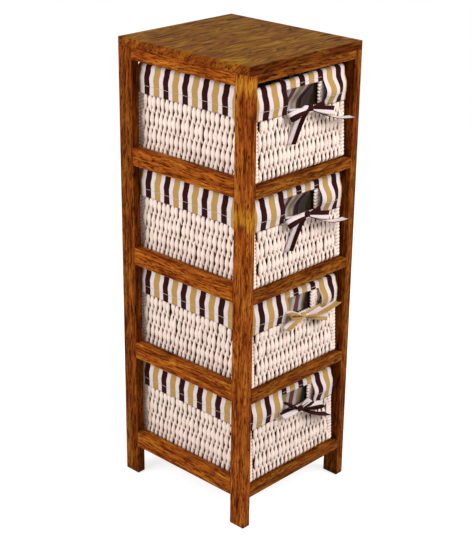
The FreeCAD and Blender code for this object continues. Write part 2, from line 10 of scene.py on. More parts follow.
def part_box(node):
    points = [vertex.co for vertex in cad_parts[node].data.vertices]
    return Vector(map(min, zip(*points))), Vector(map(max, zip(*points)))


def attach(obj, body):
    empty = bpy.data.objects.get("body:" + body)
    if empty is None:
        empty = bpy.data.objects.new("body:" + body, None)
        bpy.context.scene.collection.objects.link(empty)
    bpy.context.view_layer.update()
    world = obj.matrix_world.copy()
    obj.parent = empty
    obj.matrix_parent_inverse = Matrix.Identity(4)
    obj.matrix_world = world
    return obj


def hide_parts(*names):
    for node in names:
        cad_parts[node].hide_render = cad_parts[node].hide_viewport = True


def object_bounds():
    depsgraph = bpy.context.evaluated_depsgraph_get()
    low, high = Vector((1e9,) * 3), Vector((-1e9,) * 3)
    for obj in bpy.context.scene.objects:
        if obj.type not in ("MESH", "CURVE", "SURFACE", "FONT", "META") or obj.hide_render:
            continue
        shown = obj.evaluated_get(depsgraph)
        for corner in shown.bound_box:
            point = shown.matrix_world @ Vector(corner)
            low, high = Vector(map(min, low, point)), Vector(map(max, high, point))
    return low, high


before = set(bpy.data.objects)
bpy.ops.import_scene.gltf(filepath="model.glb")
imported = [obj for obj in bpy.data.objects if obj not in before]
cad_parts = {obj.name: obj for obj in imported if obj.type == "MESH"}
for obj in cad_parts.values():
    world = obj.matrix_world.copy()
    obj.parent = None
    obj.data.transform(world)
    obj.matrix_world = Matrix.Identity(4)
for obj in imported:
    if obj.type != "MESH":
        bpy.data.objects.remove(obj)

bl_info = {
    "name": "Basket storage tower",
    "version": (1, 0, 0),
    "blender": (4, 5, 0),
    "location": "View3D > Sidebar > Basket tower",
    "description": "Dresses the packed basket tower with stained wood, woven rope, striped cotton and bows",
    "category": "Object",
}

CAD_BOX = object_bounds()
BASKETS = (1, 2, 3, 4)
MM = 0.001
DEGREE = math.pi / 180.0
FULL_TURN, QUARTER_TURN = 2.0 * math.pi, math.pi / 2.0
X_AXIS, Y_AXIS, Z_AXIS = np.eye(3)
WHITE = (1.0, 1.0, 1.0, 1.0)


# Properties that a user would change

def display_colour(red, green, blue):
    """Linear colour, with full alpha, of a display colour in parts of 255, by the standard curve."""
    share = np.array((red, green, blue)) / 255.0
    linear = np.where(share <= 0.04045, share / 12.92, ((share + 0.055) / 1.055) ** 2.4)
    return tuple(linear.tolist()) + (1.0,)


def length(description, default):
    """Kind and options of a length property, written in millimetres and kept in metres."""
    return FloatProperty, {"description": description, "default": default * MM, "unit": "LENGTH"}


def colour(description, red, green, blue):
    """Kind and options of a colour property, written as a display colour in parts of 255."""
    options = {"description": description, "default": display_colour(red, green, blue)}
    return FloatVectorProperty, options | {"size": 4, "subtype": "COLOR", "min": 0.0, "max": 1.0}


def amount(description, default):
    """Kind and options of a property for a count or, with a decimal default, for any number."""
    kind = IntProperty if isinstance(default, int) else FloatProperty
    return kind, {"description": description, "default": default}


def named(group):
    """Makes the properties of a group, each named in plain words after its key."""
    for key, (kind, options) in group.__annotations__.items():
        group.__annotations__[key] = kind(name=key.replace("_", " ").capitalize(), **options)
    return group


@named
class WoodFinish(bpy.types.PropertyGroup):
    """Colours and grain of the stained frame."""

    dark: colour("Dark bands and streaks of the grain", 66, 28, 8)
    brown: colour("Body of the stain", 146, 70, 21)
    golden: colour("Palest wood between the streaks", 182, 110, 36)
    # Painted highlight: the golden colour of the glare painted in bands on the front left post.
    sapwood: colour("Golden patches on the front left post", 198, 138, 38)
    plain_wood: colour("Unstained battens inside", 196, 152, 98)
    band_gap: length("Width of the broad bands of the grain", 8.0)
    streak_gap: length("Width of the fine dark streaks", 2.3)
    pore_gap: length("Width of the short pores", 1.7)
    roughness: amount("Roughness of the stained face", 0.5)


@named
class WeaveSizes(bpy.types.PropertyGroup):
    """Sizes and colours of the woven paper rope."""

    row_height: length("Height of one row of stitches", 30.0)
    first_row: length("Height of a boundary between two rows above the base", 80.5)
    swing: length("How far a stitch stands out of the wall", 1.5)
    tuck: length("How far a strand goes back behind the next row", 4.4)
    slant: length("Sideways lean of each stitch", 0.6)
    thickness: length("Thickness of a flat strand", 4.4)
    wide: length("Strand width at the middle of a stitch", 11.2)
    narrow: length("Strand width between two rows", 5.2)
    hidden: length("Strand width behind the other stitches", 1.6)
    base_bend: length("Bend of the strands round the base edge", 5.0)
    foot_out: length("How far the foot of the front stands out", 6.5)
    corner_margin: length("Distance from the corner to the first strand's edge", 13.5)
    corner_reach: length("Outer radius of the wound corner pole", 7.0)
    wrap_pitch: length("Rise of one turn of the rope round a corner pole", 6.2)
    rope_radius: length("Radius of the winding rope", 3.0)
    front_strands: amount("Strands across the front", 39)
    side_strands: amount("Strands along a side", 46)
    base_strands: amount("Strands across the base", 20)
    rope: colour("Bleached paper rope", 248, 227, 214)
    rope_shade: colour("Shaded fibre of the rope", 226, 198, 180)
    # Painted shade: the brown of the strands' sides and backs stands in for the shade between the stitches.
    recess: colour("Browned sides and backs of the strands", 152, 98, 50)
    # Painted shade: a dark colour for the sheet behind the strands, standing in for the shade seen through
    # the gaps.
    inside: colour("Rope in the shade behind the weave", 44, 24, 10)


@named
class LinerSizes(bpy.types.PropertyGroup):
    """Sizes and colours of the striped cotton liner."""

    thickness: length("Thickness of the cloth", 1.4)
    corner: length("Corner radius of the skirt", 10.8)
    hem: length("Height of the skirt's lower edge above the base", 105.5)
    flap: length("Height of the lower edge of the flap over the hand-hole", 143.0)
    shoulder: length("Height where the cloth starts to fold over the rim", 147.0)
    fold_rise: length("Rise of the fold above the shoulder", 8.0)
    lean_in: length("How far the skirt leans in towards the rim", 3.0)
    lean_low: length("Height where the skirt starts to lean in", 131.0)
    lean_high: length("Height where the skirt stops leaning in", 148.0)
    front_belly: length("How far the skirt swells out on the front", 3.0)
    front_belly_height: length("Height of the swelling on the front", 123.0)
    belly: length("How far the skirt swells out below the rim", 0.9)
    belly_height: length("Height of the swelling below the rim", 133.0)
    bag_inset: length("Distance from the skirt to the bag wall", 14.3)
    bag_corner: length("Corner radius of the bag", 5.0)
    seam_rise: length("Height of the stitched seam above the hem", 14.5)
    stitch: length("Length of one stitch", 2.7)
    stitch_gap: length("Distance from stitch to stitch", 3.6)
    stripe_period: length("Width of the whole stripe pattern", 45.0)
    dark_width: length("Width of the dark stripe", 13.0)
    white_width: length("Width of each white stripe", 9.0)
    dark: colour("Dark brown stripe", 48, 15, 11)
    white: colour("White stripe", 232, 216, 215)
    tan: colour("Tan stripe", 186, 147, 83)
    dark_reverse: colour("Dark stripe on the reverse side", 124, 74, 62)
    white_reverse: colour("White stripe on the reverse side", 204, 196, 200)
    tan_reverse: colour("Tan stripe on the reverse side", 178, 150, 104)
    thread: colour("Sewing thread", 205, 190, 180)


@named
class RibbonSizes(bpy.types.PropertyGroup):
    """Sizes of the ribbons that are tied in bows."""

    width: length("Width of the ribbon", 14.0)
    thickness: length("Thickness of the ribbon", 0.9)
    knot_width: length("Width of the knot", 15.0)
    knot_height: length("Height of the knot", 13.0)
    knot_depth: length("Depth of the knot", 8.0)


@named
class StageSettings(bpy.types.PropertyGroup):
    """Camera, floor and lights."""

    azimuth: amount("Camera's turn in degrees", -46.813)
    elevation: amount("Camera's height angle in degrees", 22.312)
    roll: amount("Camera's roll in degrees", 0.770)
    distance: length("Camera's distance from its target", 2345.9)
    lens: amount("Focal length in millimetres", 88.43)
    ambient: amount("Light from all sides", 0.28)
    floor: colour("Pale floor", 188, 188, 188)
    floor_glow: amount("White of the floor to the eye", 0.76)
    floor_reach: length("Half of the floor's side", 2200.0)


SETTINGS = {
    "tower_wood": WoodFinish,
    "tower_weave": WeaveSizes,
    "tower_liner": LinerSizes,
    "tower_ribbon": RibbonSizes,
    "tower_stage": StageSettings,
}


# Places and sizes read from the photo

def millimetres(*values):
    """The values as an array in metres."""
    return np.array(values) * MM


# Left, right, lower and upper edge of the hand-holes, and the width of the rope round them
HAND_HOLE = millimetres(-40.0, 44.0, 104.0, 140.0)
BINDING = 5.5 * MM

# One row for each basket, top one first: the notch's left and right edge, where dark stripes start on the
# sides and on the front, how far the skirt swells and its hem drops (left, right), how far its upper edge
# rises (left, right) or sinks on the right, how far the bag hangs back, and how far its stripes are shifted
NOTCHES = millimetres((-38.0, 52.0), (-38.0, 52.0), (-21.0, 61.0), (-29.0, 53.0))
LEFT_DARK_STARTS = millimetres(106.2, 106.2, 111.0, 116.6)
FRONT_DARK_STARTS = millimetres(-94.0, -94.0, -93.0, -71.5)
RIGHT_BULGES = millimetres(5.5, 5.0, 5.0, 3.5)
HEM_DROPS = millimetres((1.5, 5.0), (3.5, 11.5), (3.5, 17.0), (1.5, 11.0))
TOP_RISES = millimetres((0.0, 6.0), (0.0, 3.5), (2.0, 0.0), (0.0, 0.0))
RIGHT_SINKS = millimetres(0.0, 2.0, 6.0, 6.0)
POCKETS = millimetres(20.0, 18.0, 3.0, 3.0)
BAG_SHIFTS = millimetres(-5.0, -5.0, 22.0, -6.0)

# Stretches of the front, from its middle, over which the liner eases from one shape to the next
BULGE_STARTS, BULGE_ENDS = millimetres((30.0, 65.0), (84.0, 108.0))
POCKET_STARTS, POCKET_ENDS, POCKET_DEEPENS = millimetres((-62.0, -34.0), (40.0, 66.0), (-30.0, 44.0))
HEM_FALLS, TOP_TILTS, TOP_SINKS = millimetres((0.0, 100.0), (-110.0, 90.0), (-60.0, 100.0))
BELLY_ENDS = millimetres(70.0, 108.0)

# Depths below the shoulder over which the bag comes loose, hangs back behind the hand-hole and returns
BAG_LOOSENS, SLACK_STARTS, SLACK_ENDS = millimetres((0.0, 45.0), (2.0, 48.0), (62.0, 100.0))

# The four bows. A place is right of the middle, out from the skirt's front face and up from the basket's
# seat, in millimetres. A facing is the azimuth and elevation in degrees that a ribbon's flat side turns to.
# A tone is the share of the ribbon's width, from its first to its second colour, that shows.
# A tail has its end, sag, facing and tone, and a loop its tip, opening, facing and tone.
BOTH, TURNED, FIRST, SECOND, EDGED = (0.0, 1.0), (1.0, 0.0), (0.0, 0.45), (0.55, 1.0), (0.7, 0.1)
TO_VIEWER, OPEN_UP, SLANTED = (-47.0, 15.0), (-47.0, 30.0), (-47.0, 60.0)
STEEP, UPWARD, ON_EDGE = (-47.0, 68.0), (-47.0, 78.0), (-47.0, 84.0)
DARK, TAN = 0, 1
BOWS = (
    {
        "knot": (14.2, 104.2), "finish": DARK, "straps": (EDGED, FIRST),
        "tails": (((-31.8, 6.0, 53.8), -21.0, TO_VIEWER, BOTH),
                  ((114.0, 16.0, 74.5), 6.0, ON_EDGE, (1.0, 0.4))),
        "loops": (((-42.0, 10.0, 101.0), 12.0, OPEN_UP, BOTH),
                  ((70.0, 9.0, 92.4), 8.0, TO_VIEWER, BOTH)),
    },
    {
        "knot": (15.0, 104.0), "finish": DARK, "straps": (EDGED, FIRST),
        "tails": (((-30.0, 6.0, 51.5), -20.0, TO_VIEWER, BOTH),
                  ((107.0, 16.0, 78.0), 7.0, ON_EDGE, (1.0, 0.4))),
        "loops": (((-40.0, 10.0, 101.5), 12.0, OPEN_UP, BOTH),
                  ((68.0, 9.0, 92.0), 8.0, TO_VIEWER, BOTH)),
    },
    {
        "knot": (13.7, 101.8), "finish": TAN, "straps": (FIRST, FIRST),
        "tails": (((-33.5, 8.0, 91.5), -6.0, TO_VIEWER, BOTH),
                  ((98.0, 12.0, 105.5), 4.0, (-47.0, 73.0), (0.66, 0.0))),
        "loops": (((-30.6, 10.0, 119.0), 9.0, STEEP, (0.0, 0.7)),
                  ((59.0, 6.0, 105.0), 3.0, (-47.0, 72.0), SECOND),
                  ((74.4, 10.0, 84.0), 9.0, TO_VIEWER, TURNED)),
    },
    {
        "knot": (14.1, 103.0), "finish": DARK, "straps": (FIRST, FIRST),
        "tails": (((-36.4, 8.0, 108.7), -3.0, TO_VIEWER, (1.0, 0.25)),
                  ((88.5, 10.0, 67.5), 3.0, UPWARD, FIRST)),
        "loops": (((-28.4, 10.0, 130.0), 5.0, UPWARD, FIRST),
                  ((43.5, 6.0, 110.0), 4.0, STEEP, (1.0, 0.35)),
                  ((73.0, 9.0, 92.5), 7.0, SLANTED, (1.0, 0.25))),
    },
)

# Where the camera and the lamps look, and each lamp's place in degrees and metres, its size and its power
VIEW_TARGET = Vector((-0.98, 1.31, 406.1)) * MM
LAMPS = {
    "left_lamp": {"azimuth": -107.0, "elevation": 25.0, "distance": 2.6, "size": 1.8, "power": 55.0},
    "front_lamp": {"azimuth": 18.0, "elevation": 38.0, "distance": 2.8, "size": 1.8, "power": 76.0},
}


def way(azimuth, elevation):
    """Unit vector towards an azimuth, counted from the front to the right, and an elevation, in degrees."""
    turn, rise = azimuth * DEGREE, elevation * DEGREE
    return math.sin(turn) * math.cos(rise), -math.cos(turn) * math.cos(rise), math.sin(rise)


# Surfaces as whole arrays

ROPE_SIDES, THREAD_SIDES = 8, 6
# Steps from a quad's number to the row and the column of each of its corners
CORNER_ROW, CORNER_COLUMN = np.array((0, 0, 1, 1)), np.array((0, 1, 1, 0))


def smooth_step(value, low, high):
    """0 below low, 1 above high, and the cubic 3s^2 - 2s^3 between them."""
    share = np.clip((value - low) / (high - low), 0.0, 1.0)
    return share * share * (3.0 - 2.0 * share)


def between(value, starts, ends):
    """1 between two stretches, with a smooth step up over the first and down over the second."""
    return smooth_step(value, *starts) - smooth_step(value, *ends)


def bell(value, middle, reach):
    """The bell curve exp(-s^2), with s the distance from the middle over the reach."""
    return np.exp(-(((value - middle) / reach) ** 2))


def unit(vectors):
    """Vectors divided by their lengths."""
    return vectors / np.linalg.norm(vectors, axis=-1, keepdims=True)


def walked(points, axis=0):
    """Distance from the first point to each point along a line of points."""
    step = np.linalg.norm(np.diff(points, axis=axis), axis=-1)
    start = np.zeros_like(np.take(step, [0], axis=axis))
    return np.concatenate([start, np.cumsum(step, axis=axis)], axis=axis)


def grid_quads(rows, columns, closed=False):
    """Quads (rows-1, columns or columns-1, 4) between neighbours of a grid numbered row by row."""
    number = np.arange(rows * columns).reshape(rows, columns)
    if closed:
        number = np.concatenate([number, number[:, :1]], axis=1)
    corners = [number[:-1, :-1], number[:-1, 1:], number[1:, 1:], number[1:, :-1]]
    return np.stack(corners, axis=-1)


def grid_corners(along_rows, along_columns):
    """Cloth coordinates of each quad's corners, from one value per row and one per column."""
    across, up = np.meshgrid(along_columns, along_rows)
    place = np.stack([across, up], axis=-1).reshape(-1, 2)
    return place[grid_quads(len(along_rows), len(along_columns))].reshape(-1, 4, 2)


class Patch:
    """Points, with groups of faces of like corner count and a coordinate for every face corner."""

    def __init__(self, points, groups, finish=0):
        self.points = np.asarray(points, float).reshape(-1, 3)
        self.groups = groups
        self.finish = finish


def swept_tubes(path, side, out, half_width, half_depth, sides=ROPE_SIDES, tucked=None):
    """Closed tubes: path + cos(a) half_width side + sin(a) half_depth out, with a going round from behind.

    path is an array (tubes, rings, 3), side, out and the half sizes fit it, and side x out points along the
    path. The coordinates are the distance along the path and the share of the way round. Where a ring is
    tucked, from 0 to 1, that share moves to the back.
    """
    tubes, rings = path.shape[:2]
    side, out = np.broadcast_to(side, path.shape), np.broadcast_to(out, path.shape)
    half_width, half_depth = (np.broadcast_to(half, (tubes, rings)) for half in (half_width, half_depth))
    angle = FULL_TURN * np.arange(sides) / sides - QUARTER_TURN
    across = (half_width[..., None] * np.cos(angle))[..., None] * side[:, :, None, :]
    outward = (half_depth[..., None] * np.sin(angle))[..., None] * out[:, :, None, :]
    points = path[:, :, None, :] + across + outward

    ring = np.arange(rings - 1)[:, None] + CORNER_ROW
    turn = (np.arange(sides)[:, None] + CORNER_COLUMN) / sides
    wall_shape = (tubes, rings - 1, sides, 4)
    along_corner = np.broadcast_to(walked(path, axis=1)[:, ring][:, :, None, :], wall_shape)
    turn_corner = np.broadcast_to(turn, wall_shape)
    if tucked is not None:
        turn_corner = turn_corner + tucked[:, ring][:, :, None, :] * (1.0 - turn_corner)
    wall_place = np.stack([along_corner, turn_corner], axis=-1).reshape(-1, 4, 2)

    start = np.arange(tubes)[:, None] * rings * sides
    walls = (start[:, None, None] + grid_quads(rings, sides, closed=True)).reshape(-1, 4)
    near = start + np.arange(sides)[::-1]
    far = start + (rings - 1) * sides + np.arange(sides)
    caps = np.concatenate([near, far])
    return Patch(points, [(walls, wall_place), (caps, np.zeros(caps.shape + (2,)))])


def make_piece(name, patches, finishes, body=None, replaced=()):
    """One mesh object from its patches, riding on a body and standing for the nodes that it replaces."""
    offset = 0
    counts, corner_points, corner_places, face_finishes, points = [], [], [], [], []
    for patch in patches:
        points.append(patch.points)
        for faces, places in patch.groups:
            counts.append(np.full(len(faces), faces.shape[1]))
            corner_points.append((faces + offset).ravel())
            corner_places.append(places.reshape(-1, 2))
            face_finishes.append(np.full(len(faces), patch.finish))
        offset += len(patch.points)
    counts = np.concatenate(counts)
    corner_points = np.concatenate(corner_points)

    mesh = bpy.data.meshes.new(name)
    mesh.vertices.add(offset)
    mesh.vertices.foreach_set("co", np.concatenate(points).ravel())
    mesh.loops.add(len(corner_points))
    mesh.loops.foreach_set("vertex_index", corner_points.astype(np.int32))
    mesh.polygons.add(len(counts))
    mesh.polygons.foreach_set("loop_start", (np.cumsum(counts) - counts).astype(np.int32))
    mesh.polygons.foreach_set("material_index", np.concatenate(face_finishes).astype(np.int32))
    mesh.polygons.foreach_set("use_smooth", np.ones(len(counts), bool))
    place = mesh.uv_layers.new(name="cloth")
    place.data.foreach_set("uv", np.concatenate(corner_places).astype(np.float32).ravel())
    for finish in finishes:
        mesh.materials.append(finish)
    mesh.update(calc_edges=True)
    if mesh.validate():
        raise RuntimeError(f"{name} had faces that could not be kept")

    piece = bpy.data.objects.new(name, mesh)
    bpy.context.scene.collection.objects.link(piece)
    if body:
        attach(piece, body)
    if replaced:
        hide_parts(*replaced)
    return piece


# Materials

class NodeBench:
    """Short ways to add and link nodes in the tree of a material or a world."""

    def __init__(self, owner):
        self.owner = owner
        self.owner.use_nodes = True
        self.tree = owner.node_tree

    def add(self, kind, inputs=None, **settings):
        """A node with its settings, and its inputs set to values or linked to sockets."""
        node = self.tree.nodes.new("ShaderNode" + kind)
        for key, value in settings.items():
            setattr(node, key, value)
        self.fill(node, inputs or {})
        return node

    def fill(self, node, inputs):
        """Links each named input of a node to a socket, or sets its value."""
        for key, value in inputs.items():
            if isinstance(value, bpy.types.NodeSocket):
                self.tree.links.new(value, node.inputs[key])
            else:
                node.inputs[key].default_value = value

    def finish(self, inputs):
        """Fills the inputs of the material's own shader and returns the material."""
        self.fill(self.tree.nodes["Principled BSDF"], inputs)
        return self.owner

    def maths(self, operation, first, second=0.0, third=0.0):
        """Result of one Math node."""
        return self.add("Math", {0: first, 1: second, 2: third}, operation=operation).outputs[0]

    def mix(self, factor, first, second, blend="MIX"):
        """Mixed colour of one Mix node."""
        node = self.add("Mix", {0: factor, 6: first, 7: second}, data_type="RGBA", blend_type=blend)
        return node.outputs[2]

    def times(self, first, second):
        """Product of two colours."""
        return self.mix(1.0, first, second, "MULTIPLY")

    def ease(self, value, low, high):
        """Share of the way of a value from low to high, kept from 0 to 1."""
        return self.add("MapRange", {0: value, 1: low, 2: high}).outputs[0]

    def ramp(self, factor, stops, steps=False):
        """Colour ramp over (position, colour) stops."""
        node = self.add("ValToRGB", {0: factor})
        node.color_ramp.interpolation = "CONSTANT" if steps else "LINEAR"
        while len(node.color_ramp.elements) < len(stops):
            node.color_ramp.elements.new(1.0)
        for element, (position, tint) in zip(node.color_ramp.elements, stops):
            element.position = position
            element.color = tint
        return node.outputs[0]

    def noise(self, vector, scale, detail=2.0, roughness=0.5):
        """Noise factor."""
        inputs = {"Vector": vector, "Scale": scale, "Detail": detail, "Roughness": roughness}
        return self.add("TexNoise", inputs).outputs["Fac"]

    def bump(self, height, depth):
        """Normal of a surface bumped by a height times a depth in metres."""
        return self.add("Bump", {"Height": height, "Distance": depth, "Strength": 1.0}).outputs[0]

    def object_place(self):
        """Object coordinates, which are the frame's own."""
        return self.add("TexCoord").outputs["Object"]

    def cloth_place(self):
        """The piece's own cloth coordinates, along and across."""
        place = self.add("UVMap", uv_map="cloth").outputs[0]
        return self.add("SeparateXYZ", {0: place}).outputs[:2]

    def white_for_the_eye(self):
        """1 on rays from the camera, in reflections and through glass, 0 on light that falls on things."""
        rays = self.add("LightPath").outputs
        seen = self.maths("MAXIMUM", rays["Is Camera Ray"], rays["Is Glossy Ray"])
        return self.maths("MAXIMUM", seen, rays["Is Transmission Ray"])


def new_bench(name):
    """A bench with a new material."""
    return NodeBench(bpy.data.materials.new(name))


EVEN = (1.0, 1.0, 1.0)


def darker(tint, share):
    """A share of a colour, with full alpha."""
    return tuple(share * value for value in tint[:3]) + (1.0,)


def mottled(bench, tint, share, span, scale, roughness, depth=0.0, detail=3.0, fuzz=0.5, stretch=EVEN):
    """A matt finish from a darker share of a tint to the full tint, by a noise over a span of its values.

    The noise also bumps the surface by a depth, and a stretch under 1 draws it out along an axis.
    """
    place = bench.add("Mapping", {"Vector": bench.object_place(), "Scale": stretch}).outputs[0]
    noise = bench.noise(place, scale, detail, fuzz)
    tints = darker(tint, share), tuple(tint)
    inputs = {"Base Color": bench.ramp(noise, tuple(zip(span, tints))), "Roughness": roughness}
    if depth:
        inputs["Normal"] = bench.bump(noise, depth)
    return bench.finish(inputs)


GRAIN_ORDER = {"X": (1, 2, 0), "Y": (0, 2, 1), "Z": (0, 1, 2)}
# Heights in metres of two bands of painted highlight, golden glare on the front left post
PAINTED_GLARE_BANDS = ((0.772, 0.806), (0.553, 0.592))
# How far the bands of a piece bend, how long its pores are drawn out, and the tint of its dark streaks
STRIP_CUT = (22.0 * MM, 0.16, (0.3, 0.22, 0.18, 1.0))
PANEL_CUT = (70.0 * MM, 0.05, (0.36, 0.32, 0.28, 1.0))
PALE_STREAK, DARK_PORE, PALE_PORE = (1.12, 1.1, 1.06, 1.0), (0.3, 0.24, 0.2, 1.0), (1.04, 1.04, 1.04, 1.0)
# Tints of the panel's front edge, darkened as painted shade, and of its upper face, and the depths over
# which they come in
FRONT_EDGE_SHADE, UPPER_FACE_TINT = (0.5, 0.45, 0.5, 1.0), (0.92, 1.38, 0.4, 1.0)
EDGE_DEPTHS, UPPER_DEPTHS = millimetres((1.6, 0.4), (1.2, 0.3))
# Name, grain axis, shade, starts of the names of the pieces that it goes on, and what else sets it apart
# Each shade is partly the stain's own tone and partly painted shade, darker on pieces that get less light
STAINS = (
    ("stained_wood_upright", "Z", (0.63, 0.63, 0.65), "post_", {}),
    ("stained_wood_lengthwise", "Y", (1.05, 1.06, 0.95), "side_rail_", {}),
    ("stained_wood_crosswise", "X", (0.69, 0.78, 0.81), ("front_rail_", "back_rail_"), {}),
    ("stained_wood_panel", "X", (0.7, 0.69, 0.62), "top_panel", {"panel": True}),
    ("stained_wood_painted_glare", "Z", (0.94, 0.92, 0.95), "post_front_left", {"painted_glare_bands": PAINTED_GLARE_BANDS}),
)


def stained_wood(name, grain, finish, shade, painted_glare_bands=(), panel=False):
    """Brown stained wood: broad bands, fine dark streaks and short pores along one axis of the frame.

    Bands and streaks lean across the grain and bend with a slow noise, so a sawn end shows slanted lines.
    The panel bends more and has paler streaks, an olive upper face and a front edge darkened by painted
    shade.
    """
    bend, pore_stretch, dark_streak = PANEL_CUT if panel else STRIP_CUT
    lean, shrink = 0.8, 0.35
    bench = new_bench(name)
    parts = bench.add("SeparateXYZ", {0: bench.object_place()}).outputs
    wide, deep, long = (parts[number] for number in GRAIN_ORDER[grain])
    across = bench.maths("MULTIPLY_ADD", deep, lean, wide)
    shallow = bench.maths("MULTIPLY", deep, shrink)

    def grain_noise(first, stretch, scale, detail=2.0, roughness=0.5):
        slow = bench.maths("MULTIPLY", long, stretch)
        place = bench.add("CombineXYZ", {0: first, 1: shallow, 2: slow}).outputs[0]
        return bench.noise(place, scale, detail, roughness)

    drift = grain_noise(across, stretch=0.2, scale=30.0)
    bent = bench.maths("MULTIPLY_ADD", drift, bend, across)
    band = grain_noise(bent, stretch=0.09, scale=1.0 / finish.band_gap, roughness=0.6)
    streak = grain_noise(bent, stretch=0.08, scale=1.0 / finish.streak_gap, detail=3.0, roughness=0.6)
    pore = grain_noise(across, pore_stretch, scale=1.0 / finish.pore_gap)

    dark, brown, golden = tuple(finish.dark), tuple(finish.brown), tuple(finish.golden)
    banded = bench.ramp(band, ((0.24, dark), (0.44, brown), (0.70, golden)))
    streaks = bench.ramp(streak, ((0.36, dark_streak), (0.53, PALE_STREAK)))
    pores = bench.ramp(pore, ((0.35, DARK_PORE), (0.48, PALE_PORE)))
    lines = bench.times(bench.times(streaks, pores), shade + (1.0,))
    tint = bench.times(banded, lines)
    ragged_edge, soft_edge, patch_share, line_share = 40.0 * MM, 12.0 * MM, 0.6, 0.75
    # Painted highlight: each band of golden glare, with ragged ends, is mixed over the grain.
    for low, high in painted_glare_bands:
        level = bench.maths("ADD", long, -ragged_edge / 2.0)
        ragged = bench.maths("MULTIPLY_ADD", band, ragged_edge, level)
        rise = bench.ease(ragged, low, low + soft_edge)
        drop = bench.ease(ragged, high, high - soft_edge)
        share = bench.maths("MULTIPLY", bench.maths("MULTIPLY", rise, drop), patch_share)
        tint = bench.mix(share, tint, bench.mix(line_share, tuple(finish.sapwood), lines, "MULTIPLY"))
    if panel:
        edge_span, upper_span = CAD_BOX[0].y + EDGE_DEPTHS, CAD_BOX[1].z - UPPER_DEPTHS
        # Painted shade: the front edge of the panel is darkened, as less light falls on it than on the upper
        # face.
        edge = bench.ease(parts[1], *edge_span.tolist())
        tint = bench.mix(edge, tint, bench.times(tint, FRONT_EDGE_SHADE))
        upper = bench.ease(parts[2], *upper_span.tolist())
        tint = bench.mix(upper, tint, bench.times(tint, UPPER_FACE_TINT))
    return bench.finish({
        "Base Color": tint,
        "Roughness": bench.maths("MULTIPLY_ADD", streak, -0.2, finish.roughness + 0.1),
        "Specular IOR Level": 0.012,
        "Normal": bench.bump(bench.maths("MULTIPLY_ADD", pore, 0.6, streak), 0.3 * MM),
    })


def brushed_metal(name, tint, roughness):
    """Drawn or plated metal with a fine uneven polish."""
    bench = new_bench(name)
    polish = bench.noise(bench.object_place(), scale=700.0, detail=3.0)
    return bench.finish({
        "Base Color": display_colour(*tint),
        "Metallic": 1.0,
        "Roughness": bench.maths("MULTIPLY_ADD", polish, 0.25, roughness),
        "Normal": bench.bump(polish, 0.05 * MM),
    })


def paper_rope(name, weave):
    """Bleached paper rope: matt, with twisted fibre lines, shaded spots and painted brown shade on sides and
    backs.
    """
    twist_pitch, twist_starts = 5.5 * MM, 3.0
    white_edge, brown_edge = 0.19, 0.32
    bench = new_bench(name)
    along, around = bench.cloth_place()
    place = bench.object_place()
    shift = bench.maths("MULTIPLY", around, twist_starts)
    turn = bench.maths("MULTIPLY_ADD", along, 1.0 / twist_pitch, shift)
    fuzz = bench.noise(place, scale=520.0, detail=3.0, roughness=0.6)
    twist = bench.maths("SINE", bench.maths("MULTIPLY_ADD", turn, FULL_TURN, fuzz))
    spots = bench.noise(place, scale=75.0, detail=3.0, roughness=0.55)
    fibre = bench.maths("MULTIPLY_ADD", twist, 0.05, bench.maths("MULTIPLY_ADD", fuzz, 0.35, spots))
    front = bench.ramp(fibre, ((0.42, tuple(weave.rope_shade)), (0.62, tuple(weave.rope))))
    # Painted shade: the sides and backs of each strand turn to the recess brown, for the shade between and
    # behind the stitches.
    from_front = bench.maths("ABSOLUTE", bench.maths("SUBTRACT", around, 0.5))
    side_shade = bench.ease(from_front, white_edge, brown_edge)
    return bench.finish({
        "Base Color": bench.mix(side_shade, front, tuple(weave.recess)),
        "Roughness": 0.82,
        "Specular IOR Level": 0.25,
        "Normal": bench.bump(bench.maths("MULTIPLY_ADD", twist, 0.2, fuzz), 0.32 * MM),
    })


def cotton(bench, tint, along, up):
    """Matt woven cotton of the given tint: a plain weave with ribs up the cloth, slubs and a soft sheen."""
    rib_gap, weft_gap = 2.1 * MM, 1.1 * MM
    rib = bench.maths("SINE", bench.maths("MULTIPLY", along, FULL_TURN / rib_gap))
    weft = bench.maths("SINE", bench.maths("MULTIPLY", up, FULL_TURN / weft_gap))
    threads = bench.maths("MULTIPLY_ADD", rib, 0.5, bench.maths("MULTIPLY", weft, 0.25))
    slub = bench.noise(bench.object_place(), scale=330.0, detail=3.0, roughness=0.6)
    shade = bench.maths("MULTIPLY_ADD", threads, 0.07, bench.maths("MULTIPLY_ADD", slub, 0.28, 0.84))
    grey = bench.add("CombineColor", {0: shade, 1: shade, 2: shade}).outputs[0]
    return bench.finish({
        "Base Color": bench.times(tint, grey),
        "Roughness": 0.85,
        "Specular IOR Level": 0.05,
        "Sheen Weight": 0.02,
        "Sheen Roughness": 0.5,
        "Normal": bench.bump(bench.maths("ADD", threads, slub), 0.25 * MM),
    })


def striped_cotton(name, liner, dark, white, tan):
    """Liner cotton: dark, white, tan and white stripes that repeat along the cloth."""
    waver_reach = 1.6 * MM
    bench = new_bench(name)
    along, up = bench.cloth_place()
    waver = bench.noise(bench.object_place(), scale=60.0, detail=1.0)
    moved = bench.maths("MULTIPLY_ADD", waver, waver_reach, along)
    share = bench.maths("FRACT", bench.maths("DIVIDE", moved, liner.stripe_period))
    dark_end = liner.dark_width / liner.stripe_period
    white_share = liner.white_width / liner.stripe_period
    starts = (0.0, dark_end, dark_end + white_share, 1.0 - white_share)
    stops = tuple(zip(starts, map(tuple, (dark, white, tan, white))))
    return cotton(bench, bench.ramp(share, stops, steps=True), along, up)


def two_tone_ribbon(name, first, second):
    """Ribbon cotton with one colour along each edge, from the share of its width."""
    woven_width = 13.0 * MM
    bench = new_bench(name)
    along, across = bench.cloth_place()
    tint = bench.ramp(across, ((0.0, tuple(first)), (0.5, tuple(second))), steps=True)
    return cotton(bench, tint, along, bench.maths("MULTIPLY", across, woven_width))


# Woven baskets

